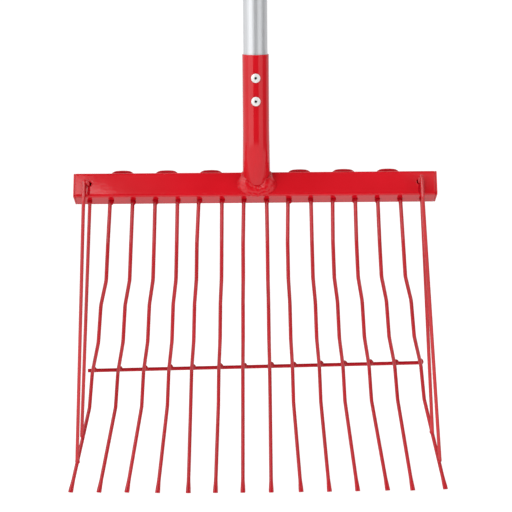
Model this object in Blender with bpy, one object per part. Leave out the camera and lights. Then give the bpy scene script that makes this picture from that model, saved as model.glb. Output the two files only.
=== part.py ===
"""A manure fork: fourteen bent wire tines in a square crossbar, on a riveted aluminium handle.

The fork stands on its tips with the handle along +Z and its front towards -Y.
Everything is built round the middle of the crossbar and then moved, by the empty
that carries it, until the middle of the footprint is the origin.
"""

import math
from typing import NamedTuple

import bmesh
import bpy
from mathutils import Matrix, Vector

# Clearance that touching pieces keep
SEAT = 0.0003

# Crossbar, a square tube that is turned so that its front looks up
BAR_SIDE = 0.030
BAR_WALL = 0.002
BAR_CORNER = 0.003
BAR_TILT = math.radians(29)
BAR_MARGIN = 0.0175
END_PLATE = 0.002

# Tines: each hairpin of wire gives two
HAIRPINS = 7
TINE_WIRE = 0.0042
TINE_PITCH = 0.0265
TINE_BEND = 0.009
CROWN_LIFT = 0.0024
CROWN_CAMBER = 0.0010
CROWN_BEND = 0.0072
ROOT_WELD_WIDTH = 0.0066
ROOT_WELD_HEIGHT = 0.0042
TIP_LENGTH = 0.018
TIP_WIDTH = 0.0056
TIP_THICKNESS = 0.0030


class Run(NamedTuple):
    """A straight run of every tine, down to its next bend."""

    length: float
    lean: float
    fan: float


# Length of each run, its lean forward of plumb, and how far the tines have fanned out by its end
TINE_RUNS = (
    Run(0.054, BAR_TILT, 1.014),
    Run(0.043, math.radians(3), 1.031),
    Run(0.049, math.radians(-40), 1.091),
    Run(0.045, math.radians(5), 1.114),
    Run(0.073, math.radians(-45), 1.195),
    Run(0.045, math.radians(3), 1.222),
    Run(0.112, math.radians(28), 1.345),
)

# How far, from left to right, each tine strays sideways at its bends and at its tip
BELLY_STRAY = (-0.0005, 0, 0.0005, 0.0005, -0.0025, 0, -0.0015,
               0.0005, -0.0025, -0.0005, -0.0025, -0.0015, -0.001, 0)
TIP_STRAY = (-0.0005, -0.001, -0.002, 0.0005, 0.003, 0.001, -0.0005,
             -0.001, 0.0005, 0, -0.0005, 0.001, -0.0035, 0.0015)

# Cross rod, welded behind the tines at their fifth bend, which climbs a little towards +X
ROD_WIRE = 0.0042
ROD_AT_BEND = 5
ROD_CLIMB = math.radians(0.95)
ROD_OVERHANG_LEFT = 0.0058
ROD_OVERHANG_RIGHT = 0.0030
ROD_WELD_WIDTH = 0.0064
ROD_WELD_LENGTH = 0.0050

# Side guards
GUARD_WIRE = 0.0038
GUARD_BEND = 0.006
GUARD_OFFSET = 0.0013
GUARD_DROP = 0.008
GUARD_HOLE = 0.0056
GUARD_HOLE_SHIFT = 0.0006
HOOK_BEND = 0.0022
HOOK_LEAN = math.radians(18)
HOOK_OUT_LEFT = 0.0052
HOOK_OUT_RIGHT = -0.0012
HOOK_FORWARD_LEFT = 0.0
HOOK_FORWARD_RIGHT = 0.0048
GUARD_BACK_END = 0.38
GUARD_FRONT_END = 0.69
GUARD_BACK_AROUND = math.radians(36)
GUARD_FRONT_AROUND = math.radians(12)

# Socket tube: straight, then bent back to the crossbar
SOCKET_WALL = 0.0012
SOCKET_STRAIGHT = 0.0875
SOCKET_BEND_RADIUS = 0.106
SOCKET_BEND = math.radians(32)
SOCKET_FLARE = 1.06
SOCKET_SHIFT = 0.0015
SADDLE_DROP = 0.005
SADDLE_WELD_END = 0.0030
SADDLE_WELD_SIDE = 0.0118
SADDLE_WELD_FRONT = 0.0086
SADDLE_WELD_GROWS = (0.10, 0.25)
SADDLE_WELD_SHRINKS = (0.28, 0.46)
SADDLE_WELD_THROAT = 0.62
SADDLE_WELD_SHIFT = 0.0012
SADDLE_WELD_STOP = 0.0045
WELD_RIPPLES = 20
WELD_RIPPLE_HEIGHT = 0.00025

# Handle tube and its end grip
HANDLE_WIDTH = 0.028
HANDLE_WALL = 0.0015
HANDLE_LENGTH = 1.0
HANDLE_STOP = 0.0075
GRIP_WALL = 0.003
GRIP_DEPTH = 0.115
GRIP_TOP = 0.030
GRIP_GROOVES = 6
GRIP_GROOVE_PITCH = 0.013
GRIP_GROOVE_DEPTH = 0.0012
GRIP_RIM = 0.002
HANG_HOLE = 0.009
HANG_HOLE_DROP = 0.014

# Blind rivets through the front of socket and handle
RIVET_FROM_TOP = 0.0248
RIVET_SPACING = 0.027
RIVET_SHANK = 0.0048
RIVET_HEAD = 0.0107
RIVET_HEAD_RIM = 0.0005
RIVET_HEAD_HEIGHT = 0.0017
RIVET_BULB = 0.0064
RIVET_BULB_LENGTH = 0.0030
MANDREL = 0.0024
MANDREL_HEAD = 0.0042
MANDREL_HEAD_LENGTH = 0.0020
MANDREL_RECESS = 0.0012
PRESSED_TAPER = 0.75

# Sides of the faceted round pieces
WIRE_SIDES = 8
HOLE_SIDES = 12
TUBE_SIDES = 32
GRIP_SIDES = 20
RIVET_SIDES = 16
CORNER_STEPS = 3
DOME_STEPS = 5
ARC_STEP = math.radians(24)

LEFT = -1
RIGHT = 1
X_AXIS = Vector((1, 0, 0))

bar_half = BAR_SIDE / 2
bar_length = (2 * HAIRPINS + 1) * TINE_PITCH + 2 * BAR_MARGIN
guard_station = (2 * HAIRPINS + 1) * TINE_PITCH / 2
tine_radius = TINE_WIRE / 2
rod_radius = ROD_WIRE / 2
guard_radius = GUARD_WIRE / 2
handle_radius = HANDLE_WIDTH / 2
socket_radius = handle_radius + SEAT + SOCKET_WALL


class Stop(NamedTuple):
    """A corner or a change of section on a wire's centre line."""

    point: Vector
    bend: float
    width: float
    thickness: float


def round_stop(point, radius, bend=0.0):
    """Return a stop where the wire is round."""
    return Stop(point, bend, 2 * radius, 2 * radius)


def remove_everything():
    """Empty the scene of objects."""
    for thing in list(bpy.data.objects):
        bpy.data.objects.remove(thing, do_unlink=True)


def make_finish(name, colour, roughness, metallic):
    """Return a Principled material."""
    finish = bpy.data.materials.new(name)
    finish.use_nodes = True
    shader = finish.node_tree.nodes["Principled BSDF"]
    shader.inputs["Base Color"].default_value = (*colour, 1.0)
    shader.inputs["Roughness"].default_value = roughness
    shader.inputs["Metallic"].default_value = metallic
    finish.diffuse_color = (*colour, 1.0)
    return finish


def make_object(name, bm, finish, parent, smooth_below=math.radians(35)):
    """Turn the bmesh into a named object that rides on its parent."""
    bmesh.ops.recalc_face_normals(bm, faces=bm.faces)
    mesh = bpy.data.meshes.new(name)
    bm.to_mesh(mesh)
    bm.free()
    mesh.shade_smooth()
    mesh.set_sharp_from_angle(angle=smooth_below)
    mesh.materials.append(finish)
    thing = bpy.data.objects.new(name, mesh)
    bpy.context.scene.collection.objects.link(thing)
    thing.parent = parent
    return thing


def make_cutter(name, bm, parent):
    """Return an object that only cuts others."""
    bmesh.ops.recalc_face_normals(bm, faces=bm.faces)
    mesh = bpy.data.meshes.new(name)
    bm.to_mesh(mesh)
    bm.free()
    cutter = bpy.data.objects.new(name, mesh)
    bpy.context.scene.collection.objects.link(cutter)
    cutter.parent = parent
    cutter.display_type = "WIRE"
    cutter.hide_render = True
    return cutter


def cut(thing, cutter):
    """Take the cutter's volume out of the object."""
    boolean = thing.modifiers.new("Cut " + cutter.name, "BOOLEAN")
    boolean.operation = "DIFFERENCE"
    boolean.solver = "EXACT"
    boolean.object = cutter


def give_wall(thing, wall):
    """Turn an open skin into a tube wall that lies inside it."""
    solidify = thing.modifiers.new("Wall", "SOLIDIFY")
    solidify.thickness = wall
    solidify.offset = -1.0
    solidify.use_even_offset = True


def in_bar(x, front, down):
    """Return a place given along the bar, out of its front face and down that face."""
    forward = front * math.cos(BAR_TILT) + down * math.sin(BAR_TILT)
    up = front * math.sin(BAR_TILT) - down * math.cos(BAR_TILT)
    return Vector((x, -forward, up))


def leaning(length, lean):
    """Return a step down that leans forward of plumb."""
    return Vector((0, -length * math.sin(lean), -length * math.cos(lean)))


def rounded_stops(stops):
    """Replace each corner that has a bend radius by an arc."""
    result = [stops[0]]
    for before, corner, after in zip(stops, stops[1:], stops[2:]):
        if not corner.bend:
            result.append(corner)
            continue
        back = (before.point - corner.point).normalized()
        ahead = (after.point - corner.point).normalized()
        turn = math.pi - back.angle(ahead)
        centre = corner.point + (back + ahead).normalized() * corner.bend / math.cos(turn / 2)
        spoke = corner.point + back * corner.bend * math.tan(turn / 2) - centre
        axis = (-back).cross(ahead)
        steps = max(2, math.ceil(turn / ARC_STEP))
        for step in range(steps + 1):
            swing = Matrix.Rotation(turn * step / steps, 3, axis)
            result.append(corner._replace(point=centre + swing @ spoke))
    result.append(stops[-1])
    return result


def ring_frames(stops, first_normal):
    """Return the placing of each ring along the stops, carried along without twist."""
    points = [stop.point for stop in stops]
    steps = [(b - a).normalized() for a, b in zip(points, points[1:])]
    tangents = [steps[0]] + [(a + b).normalized() for a, b in zip(steps, steps[1:])] + [steps[-1]]
    normal = first_normal
    frames = []
    previous = tangents[0]
    for stop, tangent in zip(stops, tangents):
        normal = previous.rotation_difference(tangent) @ normal
        normal = (normal - tangent * normal.dot(tangent)).normalized()
        side = normal.cross(tangent)
        place = Matrix((side, normal, tangent)).transposed().to_4x4()
        place.translation = stop.point
        frames.append(place @ Matrix.Diagonal((stop.width / 2, stop.thickness / 2, 1, 1)))
        previous = tangent
    return frames


def sweep(frames, sides, capped=True):
    """Extrude a unit circle from frame to frame."""
    bm = bmesh.new()
    bmesh.ops.create_circle(bm, segments=sides, radius=1.0, cap_ends=capped)
    bmesh.ops.rotate(bm, verts=bm.verts, matrix=Matrix.Rotation(math.pi / sides, 3, "Z"))
    bmesh.ops.transform(bm, verts=bm.verts, matrix=frames[0])
    edges = list(bm.edges)
    for before, after in zip(frames, frames[1:]):
        new = bmesh.ops.extrude_edge_only(bm, edges=edges)["geom"]
        verts = [item for item in new if isinstance(item, bmesh.types.BMVert)]
        known = set(verts)
        edges = [item for item in new if isinstance(item, bmesh.types.BMEdge) and set(item.verts) <= known]
        bmesh.ops.transform(bm, verts=verts, matrix=after @ before.inverted())
    if capped:
        bmesh.ops.holes_fill(bm, edges=edges, sides=sides)
    return bm


def wire(stops, first_normal=None):
    """Return a wire that follows the stops."""
    rounded = rounded_stops(stops)
    start = (rounded[1].point - rounded[0].point).normalized()
    normal = first_normal or start.cross(X_AXIS).normalized()
    return sweep(ring_frames(rounded, normal), WIRE_SIDES)


def square_outline(bm, side, corner):
    """Add a square with rounded corners in the YZ plane and return its edges."""
    inner = side / 2 - corner
    verts = []
    for quarter in range(4):
        middle = Matrix.Rotation(quarter * math.pi / 2, 3, "X") @ Vector((0, inner, inner))
        for step in range(CORNER_STEPS + 1):
            angle = (quarter + step / CORNER_STEPS) * math.pi / 2
            verts.append(bm.verts.new(middle + corner * Vector((0, math.cos(angle), math.sin(angle)))))
    return [bm.edges.new(pair) for pair in zip(verts, verts[1:] + verts[:1])]


def square_bar(side, corner, length, capped):
    """Return a rounded square extruded along X, with its middle at the origin."""
    bm = bmesh.new()
    edges = square_outline(bm, side, corner)
    if capped:
        bmesh.ops.contextual_create(bm, geom=edges)
    bmesh.ops.translate(bm, verts=bm.verts, vec=Vector((-length / 2, 0, 0)))
    new = bmesh.ops.extrude_edge_only(bm, edges=edges)["geom"]
    verts = [item for item in new if isinstance(item, bmesh.types.BMVert)]
    bmesh.ops.translate(bm, verts=verts, vec=Vector((length, 0, 0)))
    if capped:
        bmesh.ops.holes_fill(bm, edges=bm.edges, sides=0)
    return bm


def turned(profile, sides):
    """Spin a profile of radius and height round the Z axis."""
    bm = bmesh.new()
    verts = [bm.verts.new((radius, 0, height)) for radius, height in profile]
    edges = [bm.edges.new(pair) for pair in zip(verts, verts[1:])]
    if profile[0][0] > 0:
        edges.append(bm.edges.new((verts[-1], verts[0])))
    bmesh.ops.spin(bm, geom=verts + edges, axis=(0, 0, 1), cent=(0, 0, 0), steps=sides,
                   angle=2 * math.pi, use_merge=True)
    bmesh.ops.remove_doubles(bm, verts=bm.verts, dist=1e-6)
    return bm


def add_drill(bm, radius, start, direction, length):
    """Add a drill that starts at a point and clears a round piece of the radius by a seat."""
    reach = (radius + SEAT) / math.cos(math.pi / HOLE_SIDES)
    place = Vector((0, 0, 1)).rotation_difference(direction).to_matrix().to_4x4()
    place.translation = start + direction.normalized() * length / 2
    bmesh.ops.create_cone(bm, cap_ends=True, segments=HOLE_SIDES, radius1=reach, radius2=reach,
                          depth=length, matrix=place)


def root_x(tine):
    """Return where a tine, counted from the left, leaves the bar."""
    return (tine - HAIRPINS + 0.5) * TINE_PITCH


def tine_bends(tine):
    """Return the corners of a tine from the bar's underside to its tip."""
    root = in_bar(root_x(tine), 0, bar_half)
    spine = [root]
    for run in TINE_RUNS:
        spine.append(spine[-1] + leaning(run.length, run.lean))
    rod_drop = root.z - spine[ROD_AT_BEND].z
    corners = [root]
    for point, run in zip(spine[1:-1], TINE_RUNS):
        x = root.x * run.fan + BELLY_STRAY[tine % len(BELLY_STRAY)]
        climb = x * math.tan(ROD_CLIMB) * (root.z - point.z) / rod_drop
        corners.append(Vector((x, point.y, point.z + climb)))
    last = TINE_RUNS[-1]
    tip_x = root.x * last.fan + TIP_STRAY[tine % len(TIP_STRAY)]
    sideways = tip_x - corners[-1].x
    fall = leaning(math.sqrt(last.length ** 2 - sideways ** 2), last.lean)
    corners.append(Vector((tip_x, spine[-2].y + fall.y, spine[-2].z + fall.z)))
    return corners


def tine_stops(tine):
    """Return a leg's stops from inside the crossbar to the flattened tip."""
    corners = tine_bends(tine)
    down = (in_bar(0, 0, 1) - in_bar(0, 0, 0)).normalized()
    weld = ROOT_WELD_WIDTH / 2
    stops = [
        round_stop(corners[0] + down * SEAT, tine_radius),
        round_stop(corners[0] + down * 2 * SEAT, weld),
        round_stop(corners[0] + down * ROOT_WELD_HEIGHT / 2, weld),
        round_stop(corners[0] + down * ROOT_WELD_HEIGHT, tine_radius),
    ]
    stops += [round_stop(corner, tine_radius, TINE_BEND) for corner in corners[1:-1]]
    tip = corners[-1]
    back = (corners[-2] - tip).normalized()
    stops.append(round_stop(tip + back * TIP_LENGTH, tine_radius))
    stops.append(Stop(tip + back * TIP_LENGTH / 3, 0, (TINE_WIRE + 2 * TIP_WIDTH) / 3,
                      (TINE_WIRE + 2 * TIP_THICKNESS) / 3))
    stops.append(Stop(tip, 0, TIP_WIDTH, TIP_THICKNESS))
    return stops


def crown_stops(left_tine):
    """Return the stops of a hairpin's crown, which stands on the bar's top."""
    shoulder = bar_half + CROWN_LIFT + tine_radius
    left_x = root_x(left_tine)
    right_x = root_x(left_tine + 1)
    return [
        round_stop(in_bar(left_x, 0, -shoulder), tine_radius, CROWN_BEND),
        round_stop(in_bar((left_x + right_x) / 2, 0, -shoulder - CROWN_CAMBER), tine_radius),
        round_stop(in_bar(right_x, 0, -shoulder), tine_radius, CROWN_BEND),
    ]


def hairpin_stops(number):
    """Return one hairpin's stops, from its left tip over the crown to its right tip."""
    left_tine = 2 * number
    up_left = list(reversed(tine_stops(left_tine)))
    return up_left + crown_stops(left_tine) + tine_stops(left_tine + 1)


def rod_place(x):
    """Return the cross rod's centre line at x, seated in the backs of the tines' bends."""
    level = in_bar(0, 0, bar_half)
    for run in TINE_RUNS[:ROD_AT_BEND]:
        level = level + leaning(run.length, run.lean)
    turn = TINE_RUNS[ROD_AT_BEND].lean - TINE_RUNS[ROD_AT_BEND - 1].lean
    middle_lean = (TINE_RUNS[ROD_AT_BEND].lean + TINE_RUNS[ROD_AT_BEND - 1].lean) / 2
    outward = Vector((0, math.cos(middle_lean), -math.sin(middle_lean)))
    inset = TINE_BEND * (1 / math.cos(turn / 2) - 1)
    seat = outward * (tine_radius + rod_radius + SEAT - inset)
    return Vector((x, level.y, level.z + x * math.tan(ROD_CLIMB))) + seat


def cross_rod_stops():
    """Return the rod's stops, with a weld bead beside each tine."""
    crossings = [tine_bends(tine)[ROD_AT_BEND].x for tine in range(2 * HAIRPINS)]
    stops = [round_stop(rod_place(crossings[0] - ROD_OVERHANG_LEFT), rod_radius)]
    for x in crossings[:-1]:
        start = x + tine_radius + SEAT
        stops.append(round_stop(rod_place(start), rod_radius))
        stops.append(round_stop(rod_place(start + ROD_WELD_LENGTH / 3), ROD_WELD_WIDTH / 2))
        stops.append(round_stop(rod_place(start + ROD_WELD_LENGTH), rod_radius))
    stops.append(round_stop(rod_place(crossings[-1] + ROD_OVERHANG_RIGHT), rod_radius))
    return stops


def guard_end(side, share, around):
    """Return where a guard leg is welded, at a share of the outermost tine's last run.

    The leg lies on the tine's front, turned round the tine towards the outside.
    """
    tine = 0 if side == LEFT else 2 * HAIRPINS - 1
    corners = tine_bends(tine)
    last_run = corners[-1] - corners[-2]
    lean = TINE_RUNS[-1].lean
    off_front = Vector((0, -math.cos(lean), math.sin(lean)))
    off = off_front * math.cos(around) + X_AXIS * side * math.sin(around)
    return corners[-2] + last_run * share + off * (tine_radius + guard_radius + SEAT)


def guard_stops(side):
    """Return a guard's stops from its back end, through the bar and down to its front end."""
    out = HOOK_OUT_LEFT if side == LEFT else HOOK_OUT_RIGHT
    forward = HOOK_FORWARD_LEFT if side == LEFT else HOOK_FORWARD_RIGHT
    x = side * guard_station
    hole_front = bar_half + GUARD_OFFSET + guard_radius
    hook_front = hole_front + forward
    hook_top = math.hypot(out, forward) / math.tan(HOOK_LEAN)
    weld = ROOT_WELD_WIDTH / 2
    below = bar_half + GUARD_DROP
    return [
        round_stop(guard_end(side, GUARD_BACK_END, GUARD_BACK_AROUND), guard_radius),
        round_stop(in_bar(x, 0, below), guard_radius, GUARD_BEND),
        round_stop(in_bar(x, 0, bar_half + ROOT_WELD_HEIGHT), guard_radius),
        round_stop(in_bar(x, 0, bar_half + ROOT_WELD_HEIGHT / 2), weld),
        round_stop(in_bar(x, 0, bar_half + 2 * SEAT), weld),
        round_stop(in_bar(x, 0, bar_half + SEAT), guard_radius),
        round_stop(in_bar(x, 0, 0), guard_radius, GUARD_BEND),
        round_stop(in_bar(x, hole_front, 0), guard_radius, HOOK_BEND - SEAT),
        round_stop(in_bar(x + side * out, hook_front, -hook_top), guard_radius, HOOK_BEND),
        round_stop(in_bar(x + side * out, hook_front, below), guard_radius, GUARD_BEND),
        round_stop(guard_end(side, GUARD_FRONT_END, GUARD_FRONT_AROUND), guard_radius),
    ]


def socket_foot():
    """Return where the socket's centre line meets the bar's front face."""
    return in_bar(SOCKET_SHIFT, bar_half, -bar_half + SADDLE_DROP)


def socket_bend_start():
    """Return where the socket's straight part ends and its bend begins."""
    back = SOCKET_BEND_RADIUS * (1 - math.cos(SOCKET_BEND))
    rise = SOCKET_BEND_RADIUS * math.sin(SOCKET_BEND)
    return socket_foot() + Vector((0, -back, rise))


def socket_frames(radius, steps=6):
    """Return ring frames down the socket, which bends back and flares sideways."""
    start = socket_bend_start()
    upright = Matrix.Diagonal((radius, radius, 1, 1))
    frames = [Matrix.Translation(start + Vector((0, 0, SOCKET_STRAIGHT))) @ upright]
    for step in range(steps + 1):
        share = step / steps
        turn = SOCKET_BEND * share
        back = SOCKET_BEND_RADIUS * (1 - math.cos(turn))
        drop = SOCKET_BEND_RADIUS * math.sin(turn)
        flare = Matrix.Diagonal((1 + (SOCKET_FLARE - 1) * share, 1, 1, 1))
        place = Matrix.Translation(start + Vector((0, back, -drop)))
        frames.append(place @ Matrix.Rotation(turn, 4, "X") @ upright @ flare)
    stub = Matrix.Translation(leaning(BAR_SIDE, -SOCKET_BEND))
    frames.append(stub @ frames[-1])
    return frames


def saddle_path(points):
    """Return the line along which the socket's skin meets the bar, and outward spokes along it.

    It runs round the front, from the right of the middle hairpin's crown to its left.
    """
    foot = socket_foot()
    down = leaning(1, -SOCKET_BEND)
    across = Vector((0, -math.cos(SOCKET_BEND), -math.sin(SOCKET_BEND)))
    off_front = in_bar(0, 1, 0)
    off_top = in_bar(0, 0, -1)
    path = []
    for number in range(points):
        angle = 2 * math.pi * number / points - math.pi / 2
        spoke = X_AXIS * SOCKET_FLARE * math.cos(angle) + across * math.sin(angle)
        skin = foot + spoke * socket_radius
        to_front = (skin.dot(off_front) - bar_half) / -down.dot(off_front)
        to_top = (skin.dot(off_top) - bar_half) / -down.dot(off_top)
        point = skin + down * max(to_front, to_top)
        if point.dot(off_front) > tine_radius + SADDLE_WELD_STOP:
            path.append((point, spoke.normalized()))
    return path


def smoothed(path):
    """Ease the kinks of a line and keep its ends."""
    middle = [((a[0] + 2 * b[0] + c[0]) / 4, b[1]) for a, b, c in zip(path, path[1:], path[2:])]
    return path[:1] + middle + path[-1:]


def eased(value, low, high):
    """Return how far a value has come from low to high, eased at both ends."""
    share = min(max((value - low) / (high - low), 0), 1)
    return share * share * (3 - 2 * share)


def saddle_weld():
    """Return the rippled bead round the socket's foot, before it is cut to its seat."""
    path = smoothed(saddle_path(2 * WELD_RIPPLES))
    last = len(path) - 1
    up = leaning(-1, -SOCKET_BEND)
    frames = []
    for number, (point, spoke) in enumerate(path):
        tangent = (path[min(number + 1, last)][0] - path[max(number - 1, 0)][0]).normalized()
        between = up + spoke
        between = (between - tangent * between.dot(tangent)).normalized()
        chord = between.cross(tangent)
        share = min(number, last - number) / last
        swell = eased(share, *SADDLE_WELD_GROWS)
        radius = SADDLE_WELD_END + (SADDLE_WELD_SIDE - SADDLE_WELD_END) * swell
        radius -= (SADDLE_WELD_SIDE - SADDLE_WELD_FRONT) * eased(share, *SADDLE_WELD_SHRINKS)
        radius += WELD_RIPPLE_HEIGHT if number % 2 else -WELD_RIPPLE_HEIGHT
        place = Matrix((chord, between, tangent)).transposed().to_4x4()
        place.translation = point + X_AXIS * SADDLE_WELD_SHIFT * swell
        frames.append(place @ Matrix.Diagonal((radius, radius * SADDLE_WELD_THROAT, 1, 1)))
    return sweep(frames, HOLE_SIDES)


def crown_clearance(left_tine):
    """Return the room that a hairpin's crown needs where it passes the bar's top and the socket."""
    feet = [round_stop(in_bar(root_x(tine), 0, 0), tine_radius) for tine in (left_tine, left_tine + 1)]
    stops = feet[:1] + crown_stops(left_tine) + feet[1:]
    roomy = [stop._replace(width=stop.width + 2 * SEAT, thickness=stop.thickness + 2 * SEAT) for stop in stops]
    return wire(roomy)


def turned_with_bar(thing):
    """Turn a piece as the crossbar is turned."""
    thing.rotation_euler.x = -BAR_TILT
    return thing


def drill_bar(bar, name, radius, starts, direction, length, carrier):
    """Drill the crossbar for round pieces that pass the starts in one direction."""
    drills = bmesh.new()
    for start in starts:
        add_drill(drills, radius, start, direction, length)
    cut(bar, turned_with_bar(make_cutter(name, drills, carrier)))


def build_crossbar(finish, crown_cutters, carrier):
    """Build the square tube with its holes, and the two plates that close it."""
    tube_length = bar_length - 2 * (END_PLATE + SEAT)
    bar = make_object("crossbar", square_bar(BAR_SIDE, BAR_CORNER, tube_length, capped=False), finish, carrier)
    turned_with_bar(bar)
    give_wall(bar, BAR_WALL)
    roots = [Vector((root_x(tine), 0, 0)) for tine in range(2 * HAIRPINS)]
    stations = [Vector((side * guard_station, 0, 0)) for side in (LEFT, RIGHT)]
    front_holes = [station * (1 - GUARD_HOLE_SHIFT / guard_station) for station in stations]
    drill_bar(bar, "tine_drills", tine_radius, roots, Vector((0, 0, -1)), BAR_SIDE, carrier)
    drill_bar(bar, "guard_bottom_drills", guard_radius, stations, Vector((0, 0, -1)), BAR_SIDE, carrier)
    drill_bar(bar, "guard_front_drills", GUARD_HOLE / 2, front_holes, Vector((0, -1, 0)), BAR_SIDE, carrier)
    for cutter in crown_cutters:
        cut(bar, cutter)
    for side, name in ((LEFT, "crossbar_end_plate_left"), (RIGHT, "crossbar_end_plate_right")):
        plate = make_object(name, square_bar(BAR_SIDE, BAR_CORNER, END_PLATE, capped=True), finish, carrier)
        turned_with_bar(plate)
        plate.location.x = side * (bar_length - END_PLATE) / 2


def build_tines(finish, carrier):
    """Build the seven hairpins and the rod that ties their fourteen legs."""
    for number in range(HAIRPINS):
        make_object(f"hairpin_{number + 1}", wire(hairpin_stops(number)), finish, carrier)
    make_object("cross_rod", wire(cross_rod_stops(), Vector((0, -1, 0))), finish, carrier)


def build_guards(finish, carrier):
    """Build the wire guard at each side."""
    make_object("guard_left", wire(guard_stops(LEFT)), finish, carrier)
    make_object("guard_right", wire(guard_stops(RIGHT)), finish, carrier)


def build_socket(finish, crown_cutter, carrier):
    """Build the socket tube, cut to a saddle on the crossbar, and its weld."""
    socket = make_object("socket_tube", sweep(socket_frames(socket_radius), TUBE_SIDES, capped=False),
                         finish, carrier)
    give_wall(socket, SOCKET_WALL)
    block = BAR_SIDE + 4 * socket_radius
    saddle = square_bar(block, BAR_CORNER + SEAT, block, capped=True)
    shift = block / 2 - bar_half - SEAT
    bmesh.ops.translate(saddle, verts=saddle.verts, vec=Vector((SOCKET_SHIFT, shift, -shift)))
    saddle_cutter = turned_with_bar(make_cutter("saddle_block", saddle, carrier))
    cut(socket, saddle_cutter)
    cut(socket, crown_cutter)
    weld = make_object("socket_weld", saddle_weld(), finish, carrier, math.radians(60))
    cut(weld, saddle_cutter)
    core = sweep(socket_frames(socket_radius + SEAT), TUBE_SIDES)
    cut(weld, make_cutter("socket_core", core, carrier))
    return socket


def build_handle(finish, carrier):
    """Build the handle tube, whose lower end stands in the socket."""
    frames = [Matrix.Translation((0, 0, height)) @ Matrix.Diagonal((handle_radius, handle_radius, 1, 1))
              for height in (HANDLE_LENGTH, 0)]
    handle = make_object("handle_tube", sweep(frames, TUBE_SIDES, capped=False), finish, carrier)
    handle.location = socket_bend_start() + Vector((0, 0, HANDLE_STOP))
    give_wall(handle, HANDLE_WALL)
    return handle


def grip_profile():
    """Return the end grip's outline: a sleeve with finger grooves under a domed end."""
    bore = (handle_radius + SEAT) / math.cos(math.pi / GRIP_SIDES)
    skin = bore + GRIP_WALL
    total = GRIP_DEPTH + GRIP_TOP
    profile = [(0, GRIP_DEPTH), (bore, GRIP_DEPTH), (bore, 0), (skin - GRIP_GROOVE_DEPTH, 0), (skin, GRIP_RIM)]
    first = (GRIP_DEPTH - GRIP_GROOVES * GRIP_GROOVE_PITCH) / 2
    for groove in range(GRIP_GROOVES):
        low = first + groove * GRIP_GROOVE_PITCH
        profile.append((skin, low))
        profile.append((skin - GRIP_GROOVE_DEPTH, low + GRIP_GROOVE_PITCH / 3))
        profile.append((skin - GRIP_GROOVE_DEPTH, low + GRIP_GROOVE_PITCH * 2 / 3))
    profile.append((skin, first + GRIP_GROOVES * GRIP_GROOVE_PITCH))
    for step in range(DOME_STEPS):
        angle = step / DOME_STEPS * math.pi / 2
        profile.append((skin * math.cos(angle), total - skin / 2 * (1 - math.sin(angle))))
    profile.append((0, total))
    return profile


def build_grip(finish, carrier):
    """Build the moulded grip on the handle's upper end, with its hanging hole."""
    grip = make_object("end_grip", turned(grip_profile(), GRIP_SIDES), finish, carrier, math.radians(50))
    handle_top = socket_bend_start() + Vector((0, 0, HANDLE_STOP + HANDLE_LENGTH))
    grip.location = handle_top + Vector((0, 0, SEAT - GRIP_DEPTH))
    drill = bmesh.new()
    start = Vector((0, -HANDLE_WIDTH, GRIP_DEPTH + GRIP_TOP - HANG_HOLE_DROP))
    add_drill(drill, HANG_HOLE / 2, start, Vector((0, 1, 0)), 2 * HANDLE_WIDTH)
    cutter = make_cutter("hanging_hole", drill, carrier)
    cutter.location = grip.location
    cut(grip, cutter)


def rivet_profile():
    """Return a set blind rivet's outline, with the socket's skin at height zero."""
    bore = MANDREL / 2 + SEAT
    shank = RIVET_SHANK / 2
    head = RIVET_HEAD / 2
    bulb = RIVET_BULB / 2
    handle_bore = handle_radius - HANDLE_WALL
    bulb_seat = math.sqrt(handle_bore ** 2 - bulb ** 2) - socket_radius - SEAT
    profile = [
        (bore, bulb_seat - RIVET_BULB_LENGTH),
        (bulb * PRESSED_TAPER, bulb_seat - RIVET_BULB_LENGTH),
        (bulb, bulb_seat - RIVET_BULB_LENGTH / 2),
        (bulb, bulb_seat),
        (shank, bulb_seat),
        (shank, SEAT),
        (head, SEAT),
        (head, SEAT + RIVET_HEAD_RIM),
    ]
    dome = RIVET_HEAD_HEIGHT - RIVET_HEAD_RIM
    for share in (1 / 3, 2 / 3):
        radius = head + (bore - head) * share
        profile.append((radius, SEAT + RIVET_HEAD_RIM + dome * math.sin(share * math.pi / 2)))
    profile.append((bore, SEAT + RIVET_HEAD_HEIGHT))
    return profile


def mandrel_profile():
    """Return the outline of the mandrel that a set rivet keeps."""
    blind_end = rivet_profile()[0][1] - SEAT
    stem = MANDREL / 2
    head = MANDREL_HEAD / 2
    return [
        (0, blind_end - MANDREL_HEAD_LENGTH),
        (head * PRESSED_TAPER, blind_end - MANDREL_HEAD_LENGTH),
        (head, blind_end - MANDREL_HEAD_LENGTH / 2),
        (head, blind_end),
        (stem, blind_end),
        (stem, RIVET_HEAD_HEIGHT - MANDREL_RECESS),
        (0, RIVET_HEAD_HEIGHT - MANDREL_RECESS),
    ]


def build_rivets(rivet_finish, mandrel_finish, socket, handle, carrier):
    """Build the two blind rivets and drill the socket and the handle for them."""
    socket_top = socket_bend_start() + Vector((0, 0, SOCKET_STRAIGHT))
    for number, name in enumerate(("upper", "lower")):
        drop = RIVET_FROM_TOP + number * RIVET_SPACING
        seat = socket_top + Vector((0, -socket_radius, -drop))
        drill = bmesh.new()
        add_drill(drill, RIVET_SHANK / 2, Vector((0, -HANDLE_WALL, 0)), Vector((0, 1, 0)), socket_radius)
        cutter = make_cutter("rivet_drill_" + name, drill, carrier)
        cutter.location = seat
        cut(socket, cutter)
        cut(handle, cutter)
        for label, profile, finish in (("rivet_", rivet_profile(), rivet_finish),
                                       ("rivet_mandrel_", mandrel_profile(), mandrel_finish)):
            piece = make_object(label + name, turned(profile, RIVET_SIDES), finish, carrier)
            piece.location = seat
            piece.rotation_euler.x = math.pi / 2


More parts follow.
